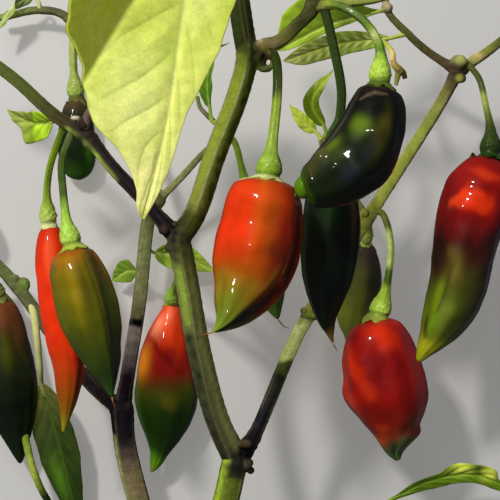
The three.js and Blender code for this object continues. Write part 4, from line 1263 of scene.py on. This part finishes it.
def limbBark(facts, crests, spots, shade):
    # how near each spot is to this limb, in radii, its relief and its colour as bark of this limb
    build = woodBuild
    path = pathOf(facts["path"])
    shares = np.linspace(0, 1, build["samples"])
    centre, tangent, up, side = at(path, shares)
    radii = facts["radii"][0] + (facts["radii"][1] - facts["radii"][0]) * shares
    closest = np.empty(len(spots), int)
    for start in range(0, len(spots), build["block"]):
        block = spots[start:start + build["block"]]
        gaps = (block ** 2).sum(1)[:, None] - 2 * block @ centre.T + (centre ** 2).sum(1)[None]
        closest[start:start + build["block"]] = gaps.argmin(1)
    away = spots - centre[closest]
    thick = radii[closest]
    reach = np.linalg.norm(away, axis=1) / thick
    angle = np.degrees(np.arctan2((away * up[closest]).sum(1), (away * side[closest]).sum(1)))
    share = shares[closest] + (away * tangent[closest]).sum(1) / path["length"]
    turned = angle - twistAt(share, path["length"])
    ribs = np.zeros(len(spots))
    for crest in crests:
        off = np.radians(turnGap(turned, crest)) * thick
        ribs = np.maximum(ribs, np.exp(-(off / build["crestWidth"]) ** 2))
    swell = build["crestHeight"] * thick * ribs - build["hollow"] * thick * (1 - ribs)
    wander = build["wander"] * ripple(spots, build["wanderSize"], build["seed"])
    lit = tonesAlong(facts["tones"], share + wander)
    steady, change = build["streakUneven"]
    for middle, halfAngle, start, end, code, strength in facts.get("streaks", []):
        across = np.exp(-turnGap(turned, middle) ** 4 / halfAngle ** 4)
        held = window(share, start, end, build["streakFade"], build["streakFade"])
        uneven = steady + change * ripple(spots, build["patchSize"], build["seed"] + 18)
        lit = mixIn(lit, strength * across * held * uneven, code)
    uneven = (1 + build["paintUneven"] * ripple(spots, build["paintSize"], build["seed"] + 5)).clip(0, 2)
    lit = mixIn(lit, build["crestPaint"] * ribs * uneven, build["crestColour"])
    return reach, swell, mixIn(lit, shade, build["shadeColour"])


def carveWood(mesh, name):
    # ribs, joints and colours: each spot takes the bark of its nearest limb
    build = woodBuild
    count = len(mesh.vertices)
    spots = vectorsOf(mesh, "co") * metre - view["middle"]
    normals = vectorsOf(mesh, "normal")
    sideways = normals[:, 0] * build["shadeFrom"][0] + normals[:, 1] * build["shadeFrom"][1]
    shade = build["shadePaint"] * smoothStep(*build["shadeFade"], sideways)
    nearest = np.full(count, 1e9)
    second = np.full(count, 1e9)
    relief = np.zeros(count)
    tones = np.zeros((count, 3))
    for facts in limbs[name].values():
        reach, swell, lit = limbBark(facts, facts.get("crests", build["crests"][name]), spots, shade)
        better = reach < nearest
        second = np.where(better, nearest, np.minimum(second, reach))
        nearest = np.where(better, reach, nearest)
        relief = np.where(better, swell, relief)
        tones = np.where(better[:, None], lit, tones)
    relief = relief * smoothStep(*build["seamFade"], second - nearest)
    steady, change = build["knotUneven"]
    lumps = 1 + build["knotRipple"] * ripple(spots, build["knotSize"], build["seed"] + 4)
    patches = steady + change * ripple(spots, build["patchSize"], build["seed"] + 5)
    for place, size, swell, code, strength in knots:
        near = np.exp(-(np.linalg.norm(spots - np.array(place), axis=1) / size) ** 3)
        relief = relief + swell * near * lumps
        tones = mixIn(tones, strength * near * patches, code)
    relief = relief + build["crumple"] * ripple(spots, build["crumpleSize"], build["seed"] + 3)
    foot = smoothStep(cut["start"], cut["end"], spots[:, 1])
    fromAxis = np.hypot(spots[:, 0] - cut["axis"][0], spots[:, 2] - cut["axis"][1])
    tones = mixIn(tones, foot, cut["wood"])
    tones = mixIn(tones, foot * smoothStep(*cut["barkFrom"], fromAxis), cut["bark"])
    tones = mixIn(tones, foot * smoothStep(*cut["pithTo"], fromAxis), cut["pith"])
    writeMesh(mesh, spots + normals * (relief * (1 - foot))[:, None], tones)


for name, facts in woods.items():
    mesh = growWood(name)
    carveWood(mesh, name)
    addPiece(name, mesh, facts["finish"], facts["slot"], *limbs[name])
    print(name, len(mesh.polygons), "faces")


# leaves: petiole and midrib as places, direction across the leaf, and the half widths of its two halves:
# two numbers for a plain oval, or left and right at shares of the midrib.
# patches: share, place across from -1 to 1, half share, half width across, colour, strength; some are
# painted light and shade

leaves = {
    "front_leaf": {
        "petiole": [[-6.7, 99, 80], [-8.5, 104, 91], [-12.5, 104, 102]],
        "petioleRadius": 1.3,
        "spine": [[-15.5, 98.4, 108], [-20.2, 79.8, 110], [-26.9, 38.3, 108], [-34.4, 10, 104]],
        "across": [1, 0.15, 0], "veins": 7, "sweep": 0.26,
        "shares": [0, 0.06, 0.13, 0.22, 0.36, 0.5, 0.6, 0.7, 0.8, 0.9, 0.96, 1],
        "left": [0.5, 20, 33.3, 37.4, 36.8, 29.6, 26.9, 22.8, 11.8, 4.6, 3, 0.8],
        "right": [0.5, 10.4, 15.5, 15.2, 13.3, 9.4, 6.2, 4.8, 4.2, 2.9, 1.7, 0.6],
        "tones": [
            (0, "#b4c446"), (0.3, "#c2ce58"), (0.6, "#d6de74"), (0.8, "#dee284"), (0.93, "#eae694"),
            (1, "#c0c060"),
        ],
        "rib": "#c4c87c", "vein": "#aabc4c", "columns": 130, "rows": 230, "fold": 5, "puff": 0.9,
        "ribWidth": 0.6,
        "patches": [
            (0.3, -0.5, 0.1, 0.3, "#a4b440", 0.5), (0.52, -0.85, 0.08, 0.2, "#b0c048", 0.5),
            (0.2, 0.3, 0.12, 0.3, "#d4de88", 0.5), (0.62, -0.4, 0.16, 0.35, "#dce48c", 0.6),
            (0.42, -0.1, 0.05, 0.12, "#b0cc50", 0.4), (0.92, 0.1, 0.06, 0.9, "#f0ee9c", 0.5),
        ],
        "bend": {
            # colour darkens the part that bends down: painted shade
            "place": (-50.7, 54.7), "away": (-0.85, 0.527), "drop": 0.6, "colour": "#575e08",
            "strength": 0.95, "fade": (-0.6, 1.6),
            "margin": "#a8b83c", "marginStrength": 0.8, "marginEdge": (0.965, 0.99),
        },
    },
    "curled_leaf": {
        "petiole": [[-8.5, 42.5, 73], [-13, 44.5, 68]],
        "spine": [[-14, 50, 62], [-14.5, 60, 58], [-12.5, 70, 55], [-7, 74, 52]],
        "across": [0.55, 0.1, 1], "halves": [4.5, 4.5], "veins": 5,
        "tones": [(0, "#4c7a14"), (0.5, "#6c9c1c"), (1, "#5c8c1c")], "rib": "#98bc44", "vein": "#3c6410",
    },
    "upper_right_leaf": {
        "petiole": [[49.3, 86.5, 46]],
        "spine": [[46.9, 85.5, 49], [28.2, 79.5, 56], [9.5, 70, 58]],
        "across": [0, 1, 0.2], "veins": 8, "shares": [0, 0.15, 0.35, 0.6, 0.8, 0.92, 1],
        "left": [0.4, 1, 1.8, 2.2, 2, 1.4, 0.1], "right": [0.4, 3, 8, 12.6, 11.4, 6.4, 0.1],
        "tones": [(0, "#7c9c24"), (0.5, "#8cac2c"), (1, "#a0c030")], "rib": "#b4c85c", "vein": "#5c7c1c",
    },
    "striped_leaf": {
        "petiole": [[57.2, 78.5, 42]],
        "spine": [[50.6, 76.5, 44], [31.5, 74.3, 45], [11.9, 68, 46]],
        "across": [0, 1, 0.4], "veins": 10, "shares": [0, 0.12, 0.35, 0.6, 0.85, 1],
        "left": [0.6, 2.6, 4, 4.4, 3.4, 0.3], "right": [0.6, 2.4, 4.2, 4.6, 3.2, 0.3],
        "stripes": {
            "count": 11, "colour": "#d0d488", "strength": 0.8, "slant": 0.06, "edge": (0.4, 0.75),
            "wanderSize": 14,
        },
        "tones": [(0, "#86a03c"), (0.3, "#8cac2c"), (0.7, "#a8bc50"), (1, "#c0c478")],
        "rib": "#a8b84c", "vein": "#5c7c24",
    },
    "small_leaf_left": {
        "petiole": [[25.9, 40.2, 39.8]],
        "spine": [[24, 43, 40.2], [19.6, 46.5, 41], [14.1, 52.9, 42]],
        "across": [1, 1, 0.2], "halves": [2.6, 2.6], "veins": 5,
        "tones": [(0, "#c4dc40"), (0.5, "#dcf450"), (1, "#d8ec60")], "rib": "#dcec70", "vein": "#a4bc38",
    },
    "small_leaf_right": {
        "petiole": [[26.2, 40.4, 39.8], [27.6, 42.2, 40]],
        "spine": [[27, 45, 40.3], [22.6, 54, 41], [30.4, 65.9, 40]], "across": [1, 0.2, 0.2],
        "halves": [3.2, 2.6],
        "tones": [(0, "#6c8414"), (0.45, "#5c7410"), (0.64, "#607810"), (0.82, "#a8bc40"), (1, "#b8cc50")],
        "rib": "#98b03c", "vein": "#5c7418",
    },
    "back_leaf_left": {
        "petiole": [[-41.4, -7, 22.4], [-42.6, -6.6, 18.5]],
        "spine": [[-43, -8, 16], [-47, -8, 12], [-53.5, -12, 8]], "across": [0, 1, 0.3],
        "halves": [4.5, 4.5], "veins": 5, "tones": [(0, "#6c8c2c"), (1, "#7c9c34")], "rib": "#9cb44c",
        "vein": "#4c6c20",
    },
    "back_leaf_right": {
        "petiole": [[-41, 0, 22.7], [-38.4, 0, 18]],
        "spine": [[-36.5, -1, 15], [-25.7, -2.3, 11], [-13.1, -8.5, 8]],
        "across": [0, 1, 0.3], "halves": [5.5, 5], "veins": 7,
        "tones": [(0, "#8cb034"), (0.5, "#a0bc40"), (1, "#acc448")], "rib": "#bccc68", "vein": "#6c9028",
    },
    "lower_right_leaf": {
        "petiole": [[47.5, -98.8, 23.2]],
        "spine": [[52, -94.5, 22.5], [67, -87, 22], [85, -84.5, 22], [103, -93, 20]],
        "across": [0, 1, 0.4], "veins": 8, "puff": 0.6,
        "shares": [0, 0.2, 0.4, 0.46, 0.52, 0.6, 0.66, 0.74, 0.79, 1],
        "left": [0.5, 2.4, 3.6, 3.4, 3.2, 3.2, 3.2, 3.2, 3, 0.3],
        "right": [0.5, 2, 2.6, 4.6, 5.4, 5.2, 5.2, 4.8, 1.6, 0.3],
        "tones": [(0, "#4c6418"), (0.4, "#5c7c14"), (0.8, "#5c7c14"), (1, "#6c9424")],
        "rib": "#7c9c2c", "vein": "#44640f",
        "patches": [
            # the bright yellow patches are painted light on the raised fold, and the dark band between them
            # is painted shade
            (0.54, 0.6, 0.06, 0.6, "#f0ff60", 1), (0.71, 0.5, 0.05, 0.7, "#f0ff60", 1),
            (0.635, 0.7, 0.02, 0.6, "#3c5010", 0.8),
        ],
    },
    "lower_left_leaf": {
        "petiole": [[-84, -19, 20], [-81.4, -24, 21.5], [-80.2, -34, 21], [-79.8, -45, 16]],
        "petioleRadius": 1.6, "petioleTone": "#c0c480",
        "spine": [[-80, -51, 12], [-73.8, -73, 10], [-68.5, -96, 8], [-65.8, -112, 6]],
        "across": [1, 0.3, 0.3], "halves": [8.5, 8.5], "slot": "dark_leaf", "veins": 8,
        # the dark greens are partly the leaf's own colour and partly painted shade
        "tones": [(0, "#5c5c28"), (0.3, "#35441a"), (0.6, "#26380f"), (1, "#1c300c")],
        "rib": "#40561c", "vein": "#182a0b", "patches": [(0.6, -0.4, 0.14, 0.35, "#55801c", 0.7)],
    },
    "left_leaf": {
        "petiole": [[-67, 46.2, 63]],
        "spine": [[-69, 44.8, 60.6], [-76.5, 45, 58], [-85.8, 49.4, 56]],
        "across": [0, 1, 0.5], "veins": 5, "puff": 0.9, "fold": 24,
        "shares": [0, 0.12, 0.3, 0.45, 0.6, 0.8, 1], "left": [1.2, 4.4, 6, 7, 3.6, 2.2, 0.3],
        "right": [1.2, 4.4, 5.4, 4.6, 3.8, 1.8, 0.3],
        "tones": [(0, "#b4dc30"), (0.3, "#b4dc30"), (0.38, "#7c9424"), (0.6, "#94a448"), (1, "#949c4c")],
        "rib": "#98ac4c", "vein": "#54701c",
    },
    "top_left_leaf": {
        "petiole": [[-80.7, 92.2, 10], [-81, 95, 11.5]],
        "spine": [[-83, 97, 12], [-90, 93.5, 14], [-97, 83, 14]], "across": [1, 1, 0.3], "halves": [3, 3],
        "tones": [(0, "#6c8c34"), (0.5, "#a0b464"), (1, "#6c8c2c")], "rib": "#c4cc8c", "vein": "#4c6424",
    },
}
# the small leaves that end the cut limbs: petiole, midrib, direction across, half width, then the colours
# of its start, its end, its rib and its veins
endLeaves = {
    "stem_end_leaf": (
        [[-6.6, 100, 80]], [[-8.6, 104, 80.5], [-13, 109, 83], [-19, 112.5, 86]], [1, 1, 0], 4.5, "#8cae34",
        "#9cc23e", "#c4d86c", "#6c9028",
    ),
    "top_end_leaf": (
        [[18.8, 99, 84]], [[20, 102.5, 85], [24.5, 108, 87], [31, 112.5, 89]], [1, -1, 0], 4.5, "#7ca82c",
        "#8cc034", "#b4d45c", "#5c8420",
    ),
    "side_end_leaf": (
        [[54, 89.5, 87.8]], [[58, 91, 89], [65, 94, 91], [75, 96, 92]], [0.3, -1, 0], 5, "#8cae34",
        "#9cc23e", "#c4d86c", "#6c9028",
    ),
    "right_end_leaf": (
        [[108.6, 94.4, 2.4]], [[106.5, 97.5, 1.6], [102, 103.5, 1.2], [96, 111, 0.7]], [1, 1, 0], 5,
        "#6ca02c", "#7fb536", "#acd05c", "#4c8020",
    ),
    "left_end_leaf": (
        [[-96, 69.8, 57.2]], [[-99.5, 73, 57.5], [-104, 79, 58.5], [-109, 88, 60]], [1, 0.8, 0], 5.5,
        "#6ca02c", "#77b32c", "#acd05c", "#4c8020",
    ),
    "back_left_end_leaf": (
        [[-101.2, 0.2, 20]], [[-103.5, 4.5, 19], [-106, 12, 15], [-107.5, 22, 8]], [1, 0.3, 0], 5,
        "#6ca02c", "#77b32c", "#acd05c", "#4c8020",
    ),
}
for name, (petiole, spine, across, half, start, end, rib, vein) in endLeaves.items():
    leaves[name] = {"petiole": petiole, "spine": spine, "across": across, "halves": [half, half],
                    "tones": [(0, start), (1, end)], "rib": rib, "vein": vein}
leafBuild = {
    "columns": 36, "rows": 80, "slot": "bright_leaf", "thickness": 0.5, "fold": 14, "puff": 0.35,
    "wave": 0.35, "waves": 19, "veins": 6, "sweep": 0.22, "sweepCurve": 0.8,
    "margin": 0.012, "marginWaves": (37, 71), "petiole": 0.9, "petioleTaper": (1.05, 0.5),
    "ribWidth": 0.7, "ribTaper": (1.07, 0.64), "ribStrength": 0.85, "veinStrength": 0.5, "veinSharpness": 9,
    "cloud": 0.3, "cloudSize": 5, "bendSharpness": 1.2, "wander": 0.05, "wanderSize": 12,
    "ovalPeak": 3.02, "ovalPowers": (0.6, 1.1), "veinFade": 0.4, "veinOffset": 0.3,
    "veinWander": (0.12, 30), "ribDip": 0.4, "ribReach": 0.9, "waveOffset": 1.5, "edgeSharpness": 10,
    "thinEdge": 0.2,
    "uneven": 0.22, "unevenSize": 9,
}


def leafOutline(share):
    # widest at about a third of the length, drawn out to a point
    held = np.clip(share, 0, 1)
    start, end = leafBuild["ovalPowers"]
    return leafBuild["ovalPeak"] * held ** start * (1 - held) ** end


def leafTones(facts, share, across, half, toVein, spots, seed):
    build = leafBuild
    out = np.abs(across)
    wander = build["wander"] * ripple(spots, build["wanderSize"], seed)
    tones = tonesAlong(facts["tones"], share + wander)
    veined = build["veinStrength"] * np.exp(-(toVein * build["veinSharpness"]) ** 2)
    tones = mixIn(tones, veined * (1 - build["veinFade"] * out), facts["vein"])
    cloud = np.clip(ripple(spots, build["cloudSize"], seed + 2), 0, 1)
    tones = mixIn(tones, build["cloud"] * cloud, facts["vein"])
    for patchShare, patchAcross, halfShare, halfAcross, code, strength in facts.get("patches", []):
        far = ((share - patchShare) / halfShare) ** 2 + ((across - patchAcross) / halfAcross) ** 2
        tones = mixIn(tones, strength * np.exp(-far), code)
    if "stripes" in facts:
        stripes = facts["stripes"]
        turn = stripes["count"] * 6.28 * (share - stripes["slant"] * out)
        turn = turn + ripple(spots, stripes["wanderSize"], seed)
        bars = smoothStep(*stripes["edge"], 0.5 + 0.5 * np.sin(turn))
        tones = mixIn(tones, stripes["strength"] * bars * (1 - out ** 4), stripes["colour"])
    if "bend" in facts:
        bend = facts["bend"]
        # painted shade on the part past the bend
        past = smoothStep(*bend["fade"], pastBend(bend, spots))
        tones = mixIn(tones, bend["strength"] * past, bend["colour"])
        margin = bend["marginStrength"] * smoothStep(*bend["marginEdge"], out) * (across < 0)
        tones = mixIn(tones, margin, bend["margin"])
    start, taper = build["ribTaper"]
    ribWidth = facts.get("ribWidth", build["ribWidth"]) * (start - taper * share)
    return mixIn(tones, build["ribStrength"] * np.exp(-(out * half / ribWidth) ** 2), facts["rib"])


def pastBend(bend, spots):
    # how far each spot lies past the line on which the leaf bends down
    return (spots[:, :2] - np.array(bend["place"])) @ np.array(bend["away"])


def makeLeaf(name, facts, seed):
    build = leafBuild
    path = pathOf(facts["spine"])
    fold = math.tan(math.radians(facts.get("fold", build["fold"])))
    puff = facts.get("puff", build["puff"])
    sweep = facts.get("sweep", build["sweep"])
    wide = np.array(facts["across"], float)
    fullest = max(*facts["left"], *facts["right"]) if "shares" in facts else max(facts["halves"])

    def shapeOf(u, v):
        # u goes round from the left edge over the upper face to the right edge and back below
        across = 1 - 4 * np.abs(u - 0.5)
        out = np.abs(across)
        onLeft = across < 0
        face = np.where(u < 0.5, 1.0, -1.0)
        centre, tangent, _, _ = at(path, v)
        side = unit(wide - (tangent @ wide)[:, None] * tangent)
        up = np.cross(side, tangent)
        flip = np.sign(up[:, 2].mean()) if abs(up[:, 2].mean()) > 0.2 else 1
        if "shares" in facts:
            left = smoothValue(facts["shares"], facts["left"], v)
            right = smoothValue(facts["shares"], facts["right"], v)
            half = np.maximum(np.where(onLeft, left, right), 0.05)
        else:
            half = np.where(onLeft, facts["halves"][0], facts["halves"][1]) * leafOutline(v)
        first, second = build["marginWaves"]
        uneven = np.sin(v * first + seed) + 0.6 * np.sin(v * second + 2 * seed)
        half = half * (1 + build["margin"] * uneven)
        fullness = np.sqrt(np.clip(half / fullest, 0, 1))
        veins = facts.get("veins", build["veins"])
        wander, wanderSize = build["veinWander"]
        veinPlace = (v - sweep * out ** build["sweepCurve"]) * veins + build["veinOffset"] * onLeft
        veinPlace = veinPlace + wander * ripple(centre, wanderSize, seed)
        toVein = np.abs(veinPlace - np.rint(veinPlace))
        between = np.sqrt(np.clip(toVein * 2, 0, 1))
        quilt = puff * between * (1 - out ** 3) * smoothStep(0, 0.15, out) * fullness
        ribDip = -build["ribDip"] * puff * np.exp(-(out * half / build["ribReach"]) ** 2)
        turn = v * build["waves"] + seed + build["waveOffset"] * onLeft
        wave = build["wave"] * out ** 2 * np.sin(turn) * fullness
        lift = out * half * fold + (quilt + ribDip + wave)
        edge = np.sqrt(np.clip(1 - out ** build["edgeSharpness"], 0, 1))
        edge = edge * np.clip(half / 2, build["thinEdge"], 1)
        thick = face * build["thickness"] / 2 * edge
        spots = centre + side * (across * half)[:, None] + up * (flip * lift)[:, None]
        uneven = build["uneven"] * puff * ripple(spots, build["unevenSize"], seed + 4) * fullness
        spots = spots + up * (uneven + thick)[:, None]
        spots = np.where(((v == 0) | (v == 1))[:, None], centre, spots)
        tones = leafTones(facts, v, across, half, toVein, spots, seed)
        if "bend" in facts:
            sharp = build["bendSharpness"]
            beyond = pastBend(facts["bend"], spots)
            eased = np.log1p(np.exp(np.clip(beyond * sharp, -30, 30))) / sharp
            spots = spots - np.outer(facts["bend"]["drop"] * eased, (0, 0, 1))
        return spots, tones

    columns = facts.get("columns", build["columns"])
    blade = rolledGrid(name, 2 * columns, facts.get("rows", build["rows"]), shapeOf)
    ribStart = at(path, np.array([0.1]))[0][0]
    stem = pathOf([*facts["petiole"], facts["spine"][0], ribStart])
    thick = facts.get("petioleRadius", build["petiole"])
    start, taper = build["petioleTaper"]
    code = facts.get("petioleTone", facts["rib"])
    tones = [(0, code), (0.6, code), (1, facts["rib"])]
    petiole = tube(name, stem, 16, 60, lambda share: thick * (start - taper * share),
                   lambda share, spots: tonesAlong(tones, share))
    return joined(name, [blade, petiole])


for seed, (name, facts) in enumerate(leaves.items()):
    slot = facts.get("slot", leafBuild["slot"])
    addPiece(name + "Blade", makeLeaf(name, facts, seed), leafSkin, slot, name)
print("leaves made")


# the withered flower at the end of the striped leaf, and the small twigs behind the front leaf

smallThings = {
    "witheredFlower": (
        leafSkin, "bright_leaf",
        [
            {
                "path": [[47.5, 76, 44], [49.8, 73.6, 44], [51.4, 71, 44], [51.6, 68, 44]],
                "radii": (0.9, 1.1),
                "tones": [(0, "#94ac3c"), (0.4, "#c4c458"), (0.7, "#dccc7c"), (1, "#c49c5c")],
            },
            {
                "path": [[51.6, 68, 44], [52.4, 66.6, 44.2], [53.6, 65.2, 44.4], [54.8, 63.6, 44.6]],
                "radii": (1.1, 1.7),
                "tones": [(0, "#b08c54"), (0.4, "#8c7c3c"), (0.8, "#5c4c28"), (1, "#7c6c34")],
            },
            {
                "path": [[54.6, 64.6, 44.2], [55.6, 63.4, 44.2], [56, 61.8, 44]],
                "radii": (1.3, 0.8), "tones": [(0, "#5c4c28"), (1, "#3c3018")],
            },
            {
                "path": [[53.6, 63.8, 44.6], [53, 61.4, 44.4], [52.6, 59.4, 44]],
                "radii": (1.2, 0.7), "tones": [(0, "#7c7c34"), (1, "#a8b060")],
            },
        ],
    ),
    "stemTwigs": (
        greenBark, "green_bark",
        [
            {
                "path": [
                    [-57.2, 41.4, 66.5], [-56, 46.4, 66.5], [-53.6, 50.4, 65], [-52, 55, 62],
                    [-51.6, 62, 60],
                ],
                "radii": (1.9, 0.8),
                "tones": [(0, "#4c3c3c"), (0.4, "#6c5850"), (0.7, "#7c6c58"), (1, "#8c9444")],
            },
            {
                "path": [[-12.4, 44.6, 66.5], [-14.6, 46.4, 65], [-17.4, 49.8, 63.5], [-18.4, 53.6, 62]],
                "radii": (0.9, 0.7), "tones": [(0, "#5c5434"), (0.5, "#8c8464"), (1, "#7c9434")],
            },
            {
                "path": [
                    [-86.6, -68, 12], [-84.8, -75, 15.4], [-82.6, -83, 16], [-80, -91, 13],
                    [-77.6, -97.5, 7.6],
                ],
                "radii": (1.5, 1.3),
                "tones": [
                    # the bright middle is painted light and the dark ends are painted shade
                    (0, "#5c7424"), (0.3, "#7c9434"), (0.5, "#a8b84c"), (0.68, "#7c9430"),
                    (0.85, "#35481a"), (1, "#26380f"),
                ],
            },
        ],
    ),
}


smallBuild = {"sides": 20, "rings": 60, "wander": 0.06, "wanderSize": 4, "ripples": 0.06}


def taperedTube(name, facts, seed):
    build = smallBuild
    first, last = facts["radii"]

    def radiusAt(share):
        return first + (last - first) * np.clip(share, 0, 1)

    def toneAt(share, spots):
        wander = build["wander"] * ripple(spots, build["wanderSize"], seed)
        return tonesAlong(facts["tones"], share + wander)

    path = pathOf(facts["path"])
    return tube(name, path, build["sides"], build["rings"], radiusAt, toneAt, build["ripples"])


for name, (finish, slot, parts) in smallThings.items():
    meshes = [taperedTube(name, facts, seed) for seed, facts in enumerate(parts)]
    addPiece(name, joined(name, meshes), finish, slot)
print("small things made")
